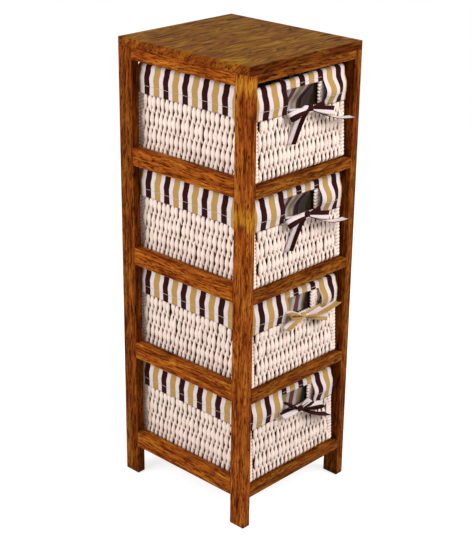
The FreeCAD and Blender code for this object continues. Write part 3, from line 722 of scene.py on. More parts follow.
def strand_route(distance, rim, depth, bend):
    """Place and outward normal of a strand's middle, at distances from the rim, in its own upright plane.

    It goes straight down at a depth behind the wall's face, round the base edge on an arc of radius bend,
    and in under the base. Returns inward place, height and the two parts of the normal.
    """
    drop = rim - depth - bend
    turn = np.clip((distance - drop) / bend, 0.0, QUARTER_TURN)
    flat = np.maximum(distance - drop - bend * QUARTER_TURN, 0.0)
    inward = depth + bend * (1.0 - np.cos(turn)) + flat
    height = rim - np.minimum(distance, drop) - bend * np.sin(turn)
    return inward, height, -np.cos(turn), -np.sin(turn)


def each_stitch(random, phase, spread):
    """A random value for every half wave of every strand, eased from one to the next by a cubic step."""
    beat = phase / math.pi
    before = np.floor(beat).astype(int)
    values = random.normal(0.0, spread, (len(phase), np.ptp(before) + 2))
    strand = np.arange(len(phase))[:, None]
    number = before - before.min()
    share = smooth_step(beat - before, 0.0, 1.0)
    return values[strand, number] * (1.0 - share) + values[strand, number + 1] * share


def strand_tubes(weave, origin, inward_axis, places, starts, rim, random):
    """Strands of one wall: each stands out by a cosine of its length, opposite to its neighbours.

    Where the cosine is above zero the strand is a stitch, a spindle that is widest at its middle and meets
    the next stitch but one there. Below zero it is narrow and goes back behind the stitches beside it, so
    dark gaps show above and below the place where two stitches meet. The waves die out at the base.
    """
    ring_step, end_tuck = 3.4 * MM, 2.0 * MM
    phase_spread, wobble_size, wobble_length, wobble_turn = 0.12, 0.15, 47.0 * MM, 9.0
    waves_start, lean_in, lean_span = millimetres(1.0, 12.0), 3.4 * MM, millimetres(120.0, 143.0)
    strand_wander, stitch_wander, plump_spread = 0.3 * MM, 0.6 * MM, 0.05
    spindle_power, spindle_spread, hidden_power = 2.6, 0.35, 1.3
    flat_share, tucked_span = 0.85, (0.3, 0.6)

    depth = weave.thickness / 2.0 + weave.swing
    ends = rim - depth - weave.base_bend + weave.base_bend * math.pi / 2.0 + end_tuck
    rings = int((ends - np.min(starts)) / ring_step)
    distance = starts[:, None] + (ends - starts)[:, None] * np.linspace(0.0, 1.0, rings)
    inward, height, normal_in, normal_up = strand_route(distance, rim, depth, weave.base_bend)

    count = len(places)
    parity = np.pi * np.arange(count)[:, None]
    jitter = random.normal(0.0, phase_spread, (count, 1))
    wobble = wobble_size * np.sin(distance / wobble_length + wobble_turn * jitter)
    phase = math.pi * (rim - distance - weave.first_row) / weave.row_height + QUARTER_TURN + parity
    phase = phase + jitter + wobble
    wave = np.cos(phase) * smooth_step(height, *waves_start)
    over, under = np.maximum(wave, 0.0), np.maximum(-wave, 0.0)
    stand = weave.swing * over - weave.tuck * under
    wander = random.normal(0.0, strand_wander, (count, 1)) + each_stitch(random, phase, stitch_wander)
    wander = wander + weave.slant * np.sin(phase)
    rim_lean = lean_in * smooth_step(height, *lean_span)

    side_axis = np.cross(inward_axis, Z_AXIS)
    out = normal_in[..., None] * inward_axis + normal_up[..., None] * Z_AXIS
    path = (
        np.asarray(origin)
        + (places[:, None] + wander)[..., None] * side_axis
        + inward[..., None] * inward_axis
        + height[..., None] * Z_AXIS
        + (stand - rim_lean)[..., None] * out
    )
    plump = 1.0 + each_stitch(random, phase, plump_spread)
    spindle = over ** (spindle_power + each_stitch(random, phase, spindle_spread))
    width = weave.narrow + (weave.wide - weave.narrow) * spindle
    width = width - (weave.narrow - weave.hidden) * under ** hidden_power
    half_depth = weave.thickness / 2.0 * (flat_share + (1.0 - flat_share) * over)
    # The parts behind other stitches take the coordinate of a strand's back, which the rope finish paints
    # brown as shade.
    tucked = smooth_step(under, *tucked_span)
    return swept_tubes(path, side_axis, out, plump * width / 2.0, half_depth, tucked=tucked)


def base_mat(weave, centre, seat, half_x, half_y):
    """Flat strands along the base, each a cosine of its length up and down, opposite to its neighbours."""
    rings, swing, half_wave, height, half_depth = 64, 0.8 * MM, 14.0 * MM, 2.9 * MM, 2.0 * MM
    count = weave.base_strands
    margin = weave.thickness + weave.base_bend
    y = np.linspace(-half_y + margin, half_y - margin, rings)
    x = np.linspace(-half_x + margin, half_x - margin, count)[:, None]
    lift = swing * np.cos(math.pi * (y / half_wave + np.arange(count)[:, None]))
    x, y, lift = np.broadcast_arrays(x, y, lift)
    path = np.stack([x + centre[0], y + centre[1], seat + height + lift], axis=-1)
    return swept_tubes(path, X_AXIS, -Z_AXIS, (half_x - margin) / count, half_depth)


def wound_bar(start, end, across, reach_across, reach_up, rope, pitch):
    """Rope wound round a bar: the helix start + axis t + cos(a) reach across + sin(a) reach up."""
    steps_a_turn, width_share = 14, 0.54
    start, end = np.array(start), np.array(end)
    up = np.cross(unit(end - start), across)
    turns = np.linalg.norm(end - start) / pitch
    share = np.linspace(0.0, 1.0, int(steps_a_turn * turns) + 1)[:, None]
    angle = FULL_TURN * turns * share
    radial = np.cos(angle) * reach_across * across + np.sin(angle) * reach_up * up
    path = start + (end - start) * share + radial
    out = unit(radial)
    side = unit(np.cross(out, unit(np.gradient(path, axis=0))))
    return swept_tubes(path[None], side[None], out[None], pitch * width_share, rope)


def ring_columns(front_shares, side_steps, corner_steps):
    """Columns of a rounded rectangle walked from the back left forward, across the front, and round home.

    Returns each column's side (left, front, right, back), its share of that side, and its corner angle.
    """
    even = np.linspace(0.0, 1.0, side_steps)
    turn = np.linspace(0.0, QUARTER_TURN, corner_steps + 2)[1:-1]
    sides, places, turns = [], [], []
    for number, share in enumerate((even, front_shares, even, even)):
        sides.append(np.full(len(share) + corner_steps, number))
        places.append(np.concatenate([share, np.ones(corner_steps)]))
        turns.append(np.concatenate([np.zeros(len(share)), turn]))
    return np.concatenate(sides), np.concatenate(places), np.concatenate(turns)


# Left, front, right and back, as ring_columns numbers the sides
FRONT_SIDE = 1
SIDE_OUT = np.array(((-1.0, 0.0), (0.0, -1.0), (1.0, 0.0), (0.0, 1.0)))
SIDE_ALONG = np.array(((0.0, -1.0), (1.0, 0.0), (0.0, 1.0), (-1.0, 0.0)))


def ring_points(columns, half_x, half_y, corner):
    """Plan points (rows, columns, 2) and outward normals: side + along + corner (out cos t + along sin t).

    half_x, half_y and corner have one value per row.
    """
    side, share, turn = columns
    out, along = SIDE_OUT[side], SIDE_ALONG[side]
    halves = np.stack([half_x, half_y], axis=-1)[:, None, :]
    inner = halves - corner[:, None, None]
    reach_out = np.sum(np.abs(out) * inner, axis=-1, keepdims=True)
    reach_along = np.sum(np.abs(along) * inner, axis=-1, keepdims=True)
    normal = out * np.cos(turn)[:, None] + along * np.sin(turn)[:, None]
    points = out * reach_out + along * reach_along * (2.0 * share - 1.0)[:, None]
    return points + corner[:, None, None] * normal, normal


def middles(values):
    """Middle of each quad's near edge on a closed ring, from values (rows, columns)."""
    return (values[:-1] + np.roll(values[:-1], -1, axis=1)) / 2.0


def split_front(straight, steps, edges):
    """Shares of the front's straight part, evenly spread and with two more at the given edges."""
    marks = (edges / straight + 1.0) / 2.0
    return np.concatenate([np.linspace(0.0, 1.0, steps), marks])


def shade_backing_sheet(centre, seat, half_x, half_y, rim):
    """Thin dark wall and base just behind the strands, painted as the shade there, open at the hand-hole."""
    corner, foot, front_steps = 6.0 * MM, 3.0 * MM, 13
    lean = millimetres(0.0, 0.0, 2.5, 3.0)
    left, right, low, high = HAND_HOLE
    front = np.unique(split_front(half_x - corner, front_steps, HAND_HOLE[:2]))
    columns = ring_columns(front, side_steps=9, corner_steps=3)
    heights = np.array((foot, low, high, rim))
    plan, _ = ring_points(columns, half_x - lean, half_y - lean, np.full(4, corner))
    rows, count = plan.shape[:2]
    upright = np.broadcast_to((seat + heights)[:, None, None], (rows, count, 1))
    points = np.concatenate([plan + centre, upright], axis=-1)
    middle_x = middles(plan[..., 0])
    on_front = (columns[0] == FRONT_SIDE) & (columns[2] == 0.0)
    hole_row = (np.arange(rows - 1) == 1)[:, None]
    in_hole = hole_row & on_front & (middle_x > left) & (middle_x < right)
    walls = grid_quads(rows, count, closed=True)[~in_hole]
    base = np.array([np.arange(count)[::-1]])
    groups = [(faces, np.zeros(faces.shape + (2,))) for faces in (walls, base)]
    return Patch(points, groups, finish=1)


class TOWER_OT_weave_baskets(bpy.types.Operator):
    """Weaves the four baskets of flat rope strands, with wound corners and a bound hand-hole"""

    bl_idname = "basket_tower.weave_baskets"
    bl_label = "Weave baskets"

    def execute(self, context):
        weave = context.scene.tower_weave
        # Painted shade: the dark mottled backing behind the strands stands in for the shade seen through the
        # gaps.
        bench = new_bench("painted_shade_behind_strands")
        look = {"span": (0.35, 0.65), "scale": 160.0, "roughness": 0.9, "depth": 0.5 * MM}
        finishes = [paper_rope("bleached_paper_rope", weave), mottled(bench, weave.inside, 0.45, **look)]
        for number in BASKETS:
            weave_basket(number, weave, finishes)
        return {"FINISHED"}


def weave_basket(number, weave, finishes):
    """One basket: strands on four walls, wound corner poles, the bound hand-hole and the dark backing of
    painted shade.

    The foot of the front stands out, by an amount that falls off evenly with height and towards the middle.
    """
    rim_drop, below_rim, pole_gap, pole_top = 2.0 * MM, 6.0 * MM, 0.7 * MM, 124.0 * MM
    backing_inset, foot_height = 9.8 * MM, 120.0 * MM
    node = f"basket_{number}"
    low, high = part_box(node)
    random = np.random.default_rng(40 + number)
    centre = np.array(((low.x + high.x) / 2.0, (low.y + high.y) / 2.0))
    half_x, half_y = (high.x - low.x) / 2.0, (high.y - low.y) / 2.0
    seat, rim = low.z, high.z - low.z - rim_drop

    def spread(half, count):
        reach = half - weave.corner_margin - weave.narrow / 2.0
        return np.linspace(-reach, reach, count)

    patches = [base_mat(weave, centre, seat, half_x, half_y)]
    across, deep = spread(half_x, weave.front_strands), spread(half_y, weave.side_strands)
    cut = (across > HAND_HOLE[0] - BINDING) & (across < HAND_HOLE[1] + BINDING)
    from_rim, along_side = np.full(len(across), below_rim), np.full(len(deep), below_rim)
    from_hole = np.where(cut, rim - HAND_HOLE[2] + BINDING, from_rim)
    walls = (
        ((centre[0], low.y, seat), Y_AXIS, across, from_hole),
        ((centre[0], high.y, seat), -Y_AXIS, across, from_rim),
        ((low.x, centre[1], seat), X_AXIS, deep, along_side),
        ((high.x, centre[1], seat), -X_AXIS, deep, along_side),
    )
    for origin, inward, places, starts in walls:
        patches.append(strand_tubes(weave, origin, inward, places, starts, rim, random))

    rope, pitch = weave.rope_radius, weave.wrap_pitch
    reach = weave.corner_reach - rope
    inset = weave.corner_reach + pole_gap
    for sign_x in (-1.0, 1.0):
        for sign_y in (-1.0, 1.0):
            x = centre[0] + sign_x * (half_x - inset)
            y = centre[1] + sign_y * (half_y - inset)
            foot, head = (x, y, seat + rope), (x, y, seat + pole_top)
            patches.append(wound_bar(foot, head, X_AXIS, reach, reach, rope, pitch))
    patches += bound_hand_hole(weave, low.y, seat)
    patches.append(shade_backing_sheet(centre, seat, half_x - backing_inset, half_y - backing_inset, rim))
    for patch in patches:
        forward = np.clip((centre[1] - patch.points[:, 1]) / half_y, 0.0, 1.0)
        upward = np.clip((patch.points[:, 2] - seat) / foot_height, 0.0, 1.0)
        patch.points[:, 1] -= weave.foot_out * forward * (1.0 - upward)
    make_piece(f"basket_{number}_weave", patches, finishes, f"basket_unit_{number}", [node])


def bound_hand_hole(weave, front, seat):
    """Rope wound round the two sides and the lower edge of the hand-hole."""
    rope, pitch, side_binding, sill_rise = 2.6 * MM, 5.7 * MM, 10.5 * MM, 1.5 * MM
    left, right, low, high = HAND_HOLE
    y = front + weave.thickness / 2.0 + weave.swing
    deep = weave.thickness / 2.0 + weave.swing - rope
    wound = []
    for x in (left - side_binding, right + side_binding):
        foot, head = (x, y, seat + low - BINDING), (x, y, seat + high + BINDING)
        wound.append(wound_bar(foot, head, X_AXIS, side_binding - rope, deep, rope, pitch))
    z = seat + low - BINDING + sill_rise
    wound.append(wound_bar((left, y, z), (right, y, z), Z_AXIS, BINDING - rope, deep, rope, pitch))
    return wound


# Liners

FOLD_ROWS = 9
FLAP_SEAM_RISE, BAG_BASE = 4.0 * MM, 9.0 * MM


def liner_faces(number):
    """Seat height of a basket, the two corners of its CAD liner, and where the skirt's front face is.

    The skirt stands out in front of the basket as far as the CAD skirt does at the back.
    """
    basket_low, basket_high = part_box(f"basket_{number}")
    low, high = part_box(f"liner_{number}")
    return basket_low.z, low, high, basket_low.y - (high.y - basket_high.y)


def liner_profile(liner):
    """Rows of the cloth from hem to bag base: inset from the hem's plane, height, and distance along.

    The skirt swells out by a bell curve, leans in by a smooth step, goes over the rim on half an ellipse,
    and drops straight inside.
    """
    skirt_steps, bag_steps, swelling_reach = 17, 26, 8.0 * MM
    seams = (liner.hem + liner.seam_rise, liner.flap, liner.flap + FLAP_SEAM_RISE)
    even = np.linspace(liner.hem, liner.shoulder, skirt_steps)
    skirt = np.unique(np.concatenate([even, seams]).round(6))
    swelling = bell(skirt, liner.belly_height, swelling_reach)
    lean = liner.lean_in * smooth_step(skirt, liner.lean_low, liner.lean_high)
    skirt_inset = lean - liner.belly * swelling
    angle = np.linspace(0.0, math.pi, FOLD_ROWS + 1)[1:]
    middle = (liner.lean_in + liner.bag_inset) / 2.0
    fold_inset = middle - (liner.bag_inset - liner.lean_in) / 2.0 * np.cos(angle)
    fold = liner.shoulder + liner.fold_rise * np.sin(angle)
    bag = np.linspace(liner.shoulder, BAG_BASE, bag_steps)[1:]
    inset = np.concatenate([skirt_inset, fold_inset, np.full(len(bag), liner.bag_inset)])
    height = np.concatenate([skirt, fold, bag])
    return inset, height, walked(np.stack([inset, height], axis=-1)), len(skirt)


def soft_waves(random, across, up, count):
    """Mean of slanted sine waves of random length and phase, for slack cloth."""
    lengths_across, lengths_up = (38.0, 95.0), (70.0, 190.0)
    waves = np.zeros(np.broadcast(across, up).shape)
    for _ in range(count):
        length_across = random.uniform(*lengths_across) * MM
        length_up = random.uniform(*lengths_up) * MM
        phase = random.uniform(0.0, FULL_TURN)
        waves += np.sin(FULL_TURN * (across / length_across + up / length_up) + phase)
    return waves / count


class TOWER_OT_sew_liners(bpy.types.Operator):
    """Sews the four striped liners: a skirt over the rim, a bag inside, a notch and stitched hems"""

    bl_idname = "basket_tower.sew_liners"
    bl_label = "Sew liners"

    def execute(self, context):
        liner = context.scene.tower_liner
        reverse = (liner.dark_reverse, liner.white_reverse, liner.tan_reverse)
        cloth = [
            striped_cotton("striped_liner_cotton", liner, liner.dark, liner.white, liner.tan),
            striped_cotton("liner_cotton_reverse", liner, *reverse),
        ]
        bench = new_bench("pale_thread")
        look = {"span": (0.35, 0.6), "scale": 900.0, "roughness": 0.7, "detail": 2.0}
        thread = mottled(bench, liner.thread, 0.75, **look)
        for number in BASKETS:
            sew_liner(number, liner, cloth, thread)
        return {"FINISHED"}


def liner_push(number, liner, plan_x, height, skirt, on_front, ripple):
    """How far the cloth stands out of its plan: swellings of the skirt, slack and the pocket of the bag."""
    ripple_reach, bag_reach, bag_ripple = 0.7 * MM, 1.6 * MM, 3.0 * MM
    round_reach, corner_share, left_share, deeper_share = 9.0 * MM, 0.35, 0.6, 0.75
    fall = 1.0 - smooth_step(height, liner.hem, liner.shoulder)
    below = liner.shoulder - height
    bulge = RIGHT_BULGES[number - 1] * between(plan_x, BULGE_STARTS, BULGE_ENDS) * np.sin(math.pi * fall)
    round_front = bell(height, liner.front_belly_height, round_reach)
    flat_corner = 1.0 - smooth_step(np.abs(plan_x), *BELLY_ENDS)
    bulge = bulge + liner.front_belly * round_front * (corner_share + (1.0 - corner_share) * flat_corner)
    push = np.where(on_front & skirt, bulge, 0.0) + ripple_reach * ripple * fall * skirt
    loose = smooth_step(below, *BAG_LOOSENS) * (~skirt)
    push = push - loose * (bag_reach + bag_ripple * np.abs(ripple))
    pocket = between(plan_x, POCKET_STARTS, POCKET_ENDS)
    pocket = pocket * (left_share + deeper_share * smooth_step(plan_x, *POCKET_DEEPENS))
    pocket = POCKETS[number - 1] * pocket * between(below, SLACK_STARTS, SLACK_ENDS)
    return push - np.where(on_front & ~skirt, pocket, 0.0)


def liner_droop(number, liner, plan_x, front_share, height, skirt, outer, sway):
    """How far the cloth stands over its plain height: the hem's slope and waves, and the tilt of the top."""
    sway_reach, top_rise, sink_reach = 0.9 * MM, 4.0 * MM, 24.0 * MM
    left_drop, right_drop = HEM_DROPS[number - 1]
    left_rise, right_rise = TOP_RISES[number - 1]
    fall = 1.0 - smooth_step(height, liner.hem, liner.shoulder)
    slope = left_drop + (right_drop - left_drop) * smooth_step(plan_x, *HEM_FALLS)
    droop = (sway_reach * sway - slope * front_share) * fall * skirt
    near_top = smooth_step(height, liner.flap, liner.shoulder + top_rise)
    rise = left_rise + (right_rise - left_rise) * smooth_step(plan_x, *TOP_TILTS)
    sink = RIGHT_SINKS[number - 1] * smooth_step(plan_x, *TOP_SINKS)
    near_flap = smooth_step(height, liner.flap - sink_reach, liner.flap)
    return droop + (rise * near_top - sink * near_flap * outer) * front_share


def sew_liner(number, liner, cloth, thread):
    """One liner as a sheet with its stitches, and the bag's base as a sheet laid in the basket.

    The skirt's plan comes from the CAD skirt, and its rows from the liner's profile, pushed out and drooped.
    """
    front_steps, front_reach, stitch_lift = 38, 70.0 * MM, 0.1 * MM
    seat, low, high, front = liner_faces(number)
    random = np.random.default_rng(70 + number)
    half_cloth = liner.thickness / 2.0
    half_x = (high.x - low.x) / 2.0 - half_cloth
    half_y = (high.y - front) / 2.0 - half_cloth
    centre = np.array(((low.x + high.x) / 2.0, (high.y + front) / 2.0))

    inset, height, along, skirt_rows = liner_profile(liner)
    left, right = NOTCHES[number - 1]
    front_shares = np.unique(split_front(half_x - liner.corner, front_steps, NOTCHES[number - 1]).round(6))
    columns = ring_columns(front_shares, side_steps=40, corner_steps=6)
    corner = np.maximum(liner.corner - inset, liner.bag_corner)
    plan, normal = ring_points(columns, half_x - inset, half_y - inset, corner)
    side, _, turn = columns
    rows, count = plan.shape[:2]
    row = np.arange(rows)[:, None]
    skirt, outer = row < skirt_rows, row < skirt_rows + FOLD_ROWS
    on_front = (side == FRONT_SIDE)[None, :]
    plan_x, level = plan[..., 0], height[:, None]
    front_share = 1.0 - smooth_step(plan[..., 1], -half_y, -half_y + front_reach)
    walk = np.cumsum(np.linalg.norm(np.diff(plan[0], axis=0, prepend=plan[0, -1:]), axis=-1))
    ripple = soft_waves(random, walk, level, count=5)
    sway = soft_waves(random, walk, 0.0, count=4)
    push = liner_push(number, liner, plan_x, level, skirt, on_front, ripple)
    droop = liner_droop(number, liner, plan_x, front_share, level, skirt, outer, sway)
    upright = (seat + level + droop)[..., None]
    points = np.concatenate([plan + push[..., None] * normal + centre, upright], axis=-1)

    places = stripe_places(number, liner, columns, half_x, half_y, centre, along)
    places[skirt_rows + FOLD_ROWS // 2:, :, :, 0] -= BAG_SHIFTS[number - 1]
    middle_x = middles(plan_x)
    middle_z = (level[:-1] + level[1:]) / 2.0
    in_notch = on_front & (turn == 0.0) & (row[:-1] < skirt_rows - 1) & (middle_z < liner.flap)
    in_notch &= (middle_x > left) & (middle_x < right)
    quads = grid_quads(rows, count, closed=True)[~in_notch]
    patch = Patch(points, [(quads, places[~in_notch])])

    body = f"basket_unit_{number}"
    sheet = make_piece(f"liner_{number}_cloth", [patch], cloth, body, [f"liner_{number}"])
    thicken(sheet, liner.thickness, reverse=1)
    sew_base(number, liner, cloth, body, seat, centre, half_x, half_y, random)
    seam_row = int(np.argmin(np.abs(height[:skirt_rows] - liner.hem - liner.seam_rise)))
    flap_row = int(np.argmin(np.abs(height[:skirt_rows] - liner.flap - FLAP_SEAM_RISE)))
    over_hole = on_front[0] & (plan_x[seam_row] > left) & (plan_x[seam_row] < right)
    lift = (half_cloth + stitch_lift) * np.concatenate([normal, np.zeros((count, 1))], axis=-1)
    seams = [
        stitches(liner, points[seam_row] + lift, ~over_hole),
        stitches(liner, points[flap_row] + lift, over_hole),
    ]
    sewn = make_piece(f"liner_{number}_stitches", seams, [thread], body)


def stripe_places(number, liner, columns, half_x, half_y, centre, along):
    """Cloth coordinates of the liner's quads: the stripes of each side start where its seam puts them.

    A corner's quads belong to the side before it up to the middle of the corner, and then to the next.
    Whole periods are added so that all coordinates are above zero.
    """
    side, share, turn = columns
    lengthwise = side % 2 == 0
    reach = np.where(lengthwise, half_y, half_x) - liner.corner
    next_reach = np.where(lengthwise, half_x, half_y) - liner.corner
    dark_left, dark_front = LEFT_DARK_STARTS[number - 1], FRONT_DARK_STARTS[number - 1]
    starts = np.array((dark_left - centre[1], -dark_front, dark_left, dark_front))
    whole_periods = 10.0 * liner.stripe_period
    to_next = liner.corner * (QUARTER_TURN - turn)
    here = whole_periods + reach * (2.0 * share - 1.0) + liner.corner * turn + starts[side]
    there = whole_periods - next_reach - to_next + starts[(side + 1) % 4]
    last = np.roll(side, -1) != side
    next_turn = np.where(last, QUARTER_TURN, np.roll(turn, -1))
    far_half = (turn + next_turn) / 2.0 > QUARTER_TURN / 2.0
    near_value = np.where(far_half, there, here)
    next_here = np.where(last, here + to_next, np.roll(here, -1))
    next_there = np.where(last, np.roll(here, -1), np.roll(there, -1))
    far_value = np.where(far_half, next_there, next_here)
    across = np.stack([near_value, far_value], axis=-1)[:, CORNER_COLUMN]
    up = np.stack([along[:-1], along[1:]], axis=-1)[:, None, CORNER_ROW]
    return np.stack(np.broadcast_arrays(across, up), axis=-1)


def thicken(piece, thickness, reverse=0):
    """Gives a sheet its thickness, half to each side, and the reverse side its own finish."""
    solid = piece.modifiers.new("Cloth thickness", "SOLIDIFY")
    solid.thickness = thickness
    solid.offset = 0.0
    solid.material_offset = reverse


def stitches(liner, line, wanted):
    """Short plump threads along a closed line of points, one each stitch gap, where the line is wanted."""
    share, swell = np.array((-0.5, -0.32, 0.0, 0.32, 0.5)), np.array((0.35, 0.85, 1.0, 0.85, 0.35))
    thread_radius, fully = 0.55 * MM, 0.99
    loop = np.concatenate([line, line[:1]])
    walk = walked(loop)
    middle = np.arange(liner.stitch_gap, walk[-1], liner.stitch_gap)
    middle = middle[np.interp(middle, walk, np.append(wanted, wanted[0]).astype(float)) > fully]
    distance = middle[:, None] + liner.stitch * share
    path = np.stack([np.interp(distance, walk, loop[:, axis]) for axis in range(3)], axis=-1)
    out = np.cross(unit(np.gradient(path, axis=1)), Z_AXIS)
    radius = swell * thread_radius
    return swept_tubes(path, Z_AXIS, out, radius, radius, THREAD_SIDES)


def sew_base(number, liner, cloth, body, seat, centre, half_x, half_y, random):
    """The bag's base: a rounded rectangle of slack cloth, x = u times the half width at that depth."""
    gap, rows, columns, slack = 1.2 * MM, 33, 31, 1.3 * MM
    reach_x = half_x - liner.bag_inset - gap
    reach_y = half_y - liner.bag_inset - gap
    corner = liner.bag_corner
    across = np.linspace(-1.0, 1.0, columns)
    deep = np.linspace(-reach_y, reach_y, rows)[:, None]
    beyond = np.maximum(np.abs(deep) - (reach_y - corner), 0.0)
    x = across * (reach_x - corner + np.sqrt(np.maximum(corner ** 2 - beyond ** 2, 0.0)))
    y = np.broadcast_to(deep, x.shape)
    rise = slack * (1.0 + soft_waves(random, x, y, count=6)) * (1.0 - across ** 4)
    points = np.stack([x + centre[0], y + centre[1], seat + BAG_BASE + rise], axis=-1)
    places = grid_corners(along_rows=deep[:, 0] + reach_y, along_columns=across * reach_x + reach_x)
    patch = Patch(points, [(grid_quads(rows, columns).reshape(-1, 4), places)])
    base = make_piece(f"liner_{number}_base", [patch], cloth, body)
    thicken(base, liner.thickness, reverse=1)


# Bows

# Share of a ribbon's width at the knot, and how many points it has across
PINCHED, ACROSS_STEPS = 0.42, 7


def band(middle, across, half_width, tone, curl, finish, slant=0.0):
    """Flat ribbon: middle + v half_width across, bulged by curl (1 - v^2) along its normal, v from -1 to 1.

    Returns its patch and its length. The last row slants, as a cut end does.
    """
    tangent = unit(np.gradient(middle, axis=0))
    across = unit(across - np.sum(across * tangent, axis=-1, keepdims=True) * tangent)
    normal = np.cross(tangent, across)
    share = np.linspace(-1.0, 1.0, ACROSS_STEPS)
    points = (
        middle[:, None, :]
        + (half_width[:, None] * share)[..., None] * across[:, None, :]
        + (curl * (1.0 - share ** 2))[None, :, None] * normal[:, None, :]
    )
    points[-1] += slant * share[:, None] * tangent[-1]
    along = walked(middle)
    low, high = tone
    quads = grid_quads(*points.shape[:2]).reshape(-1, 4)
    places = grid_corners(along_rows=along, along_columns=low + (high - low) * (share + 1.0) / 2.0)
    return Patch(points, [(quads, places[..., ::-1])], finish), along[-1]


def sagging(start, end, sag, steps):
    """Share of the way and points of a straight line plus a sine sag."""
    share = np.linspace(0.0, 1.0, steps)[:, None]
    return share[:, 0], start + (end - start) * share + sag * np.sin(math.pi * share)


def bow_tail(base, end, sag, facing, tone, ribbon, finish):
    """A tail from the knot to its slanted end: a sagging line, pinched at the knot."""
    forward, curl, slant, pinch_end = -3.0, 1.2 * MM, 3.0 * MM, 0.3
    share, middle = sagging(base, end, millimetres(0.0, forward, -sag), steps=24)
    across = np.cross(np.gradient(middle, axis=0), way(*facing))
    pinch = PINCHED + (1.0 - PINCHED) * smooth_step(share, 0.0, pinch_end)
    return band(middle, across, ribbon.width / 2.0 * pinch, tone, curl, finish, slant)


def bow_loop(base, tip, opening, facing, tone, ribbon, finish):
    """A loop from the knot out and back: reach sin(t) + opening sin(2t) / 2, t from 0 to half a turn."""
    steps, curl, pinch_end = 34, 1.0 * MM, 0.75
    turn = np.linspace(0.0, math.pi, steps)[:, None]
    reach = tip - base
    across = unit(np.cross(reach, way(*facing)))
    apart = unit(np.cross(across, reach)) * opening * MM
    middle = base + reach * np.sin(turn) + apart / 2.0 * np.sin(2.0 * turn)
    pinch = PINCHED + (1.0 - PINCHED) * smooth_step(np.sin(turn[:, 0]), 0.0, pinch_end)
    return band(middle, across, ribbon.width / 2.0 * pinch, tone, curl, finish)


def bow_strap(corner, base, tone, ribbon, finish):
    """The ribbon from a sewn corner of the notch to the knot: a sagging line that narrows to the knot."""
    sewn_share, gathered_share, gather_start, curl = 0.75, 0.35, 0.45, 0.8 * MM
    share, middle = sagging(corner, base, millimetres(0.0, -1.5, -1.0), steps=14)
    square = unit(np.cross(base - corner, -Y_AXIS))
    half = ribbon.width / 2.0 * (sewn_share - gathered_share * smooth_step(share, gather_start, 1.0))
    return band(middle, square, half, tone, curl, finish)


def bow_knot(base, ribbon, finish):
    """The knot: a pillow with creases, an ellipsoid whose radius waves with the angle round it."""
    rows, columns, top = 13, 24, 1.45
    creases, crease_depth, crease_twist, plumpness, crown = 5.0, 0.07, 0.8, 0.7, 0.08
    wrapped, first_tone, cap_place = 40.0 * MM, 0.75, np.array((0.0, 0.1))
    turn = np.linspace(0.0, FULL_TURN, columns + 1)[:-1]
    rise = np.linspace(-top, top, rows)[:, None]
    plump = np.cos(rise) ** plumpness * (1.0 + crease_depth * np.cos(creases * turn + crease_twist * rise))
    x = ribbon.knot_width / 2.0 * plump * np.cos(turn)
    y = ribbon.knot_depth / 2.0 * plump * np.sin(turn)
    z = ribbon.knot_height / 2.0 * np.sin(rise) * (1.0 + crown * np.cos(2.0 * turn))
    points = base + np.stack([x, y, z], axis=-1)
    walls = grid_quads(rows, columns, closed=True).reshape(-1, 4)
    across, around = np.linspace(first_tone, 0.0, rows - 1), np.linspace(0.0, wrapped, columns)
    places = np.stack(np.meshgrid(around, across), axis=-1).reshape(-1, 1, 2).repeat(4, axis=1)
    caps = np.stack([np.arange(columns)[::-1], (rows - 1) * columns + np.arange(columns)])
    return Patch(points, [(walls, places), (caps, np.broadcast_to(cap_place, caps.shape + (2,)))], finish)


class TOWER_OT_tie_bows(bpy.types.Operator):
    """Ties the ribbon of each liner in a bow over the notch"""

    bl_idname = "basket_tower.tie_bows"
    bl_label = "Tie bows"

    def execute(self, context):
        liner = context.scene.tower_liner
        finishes = [
            two_tone_ribbon("dark_and_white_ribbon", liner.dark, liner.white),
            two_tone_ribbon("tan_and_white_ribbon", liner.tan, liner.white),
        ]
        for number in BASKETS:
            tie_bow(number, context.scene.tower_ribbon, finishes)
        return {"FINISHED"}


def tie_bow(number, ribbon, finishes):
    """One bow: two straps from the notch, two tails, two or three loops and the knot over them."""
    knot_gap, strap_out, strap_up = 1.0 * MM, 3.6 * MM, 4.0 * MM
    plan = BOWS[number - 1]
    finish = plan["finish"]
    seat, _, _, face = liner_faces(number)
    knot_x, knot_z = plan["knot"]
    base = np.array((knot_x * MM, face - ribbon.knot_depth / 2.0 - knot_gap, seat + knot_z * MM))

    def from_face(place):
        right, out, up = (value * MM for value in place)
        return np.array((right, face - out, seat + up))

    bands = []
    for x, tone in zip(NOTCHES[number - 1], plan["straps"]):
        corner = np.array((x, face - strap_out, base[2] + strap_up))
        bands.append(bow_strap(corner, base, tone, ribbon, finish))
    for shape, key in ((bow_tail, "tails"), (bow_loop, "loops")):
        for place, size, facing, tone in plan[key]:
            bands.append(shape(base, from_face(place), size, facing, tone, ribbon, finish))
    patches = [patch for patch, _ in bands]
    body = f"basket_unit_{number}"
    pillow = bow_knot(base, ribbon, finish)
    knot = make_piece(f"bow_{number}_knot", [pillow], finishes, body)
    tied = make_piece(f"bow_{number}_ribbon", patches, finishes, body, [f"bow_{number}"])
    thicken(tied, ribbon.thickness)


# Frame and hardware

def dress(starts, material):
    """Puts a material into every slot of the nodes whose names start so."""
    for name in sorted(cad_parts):
        if not name.startswith(starts):
            continue
        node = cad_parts[name]
        if not node.material_slots:
            raise RuntimeError(f"{name} has no material slot")
        for slot in node.material_slots:
            slot.material = material


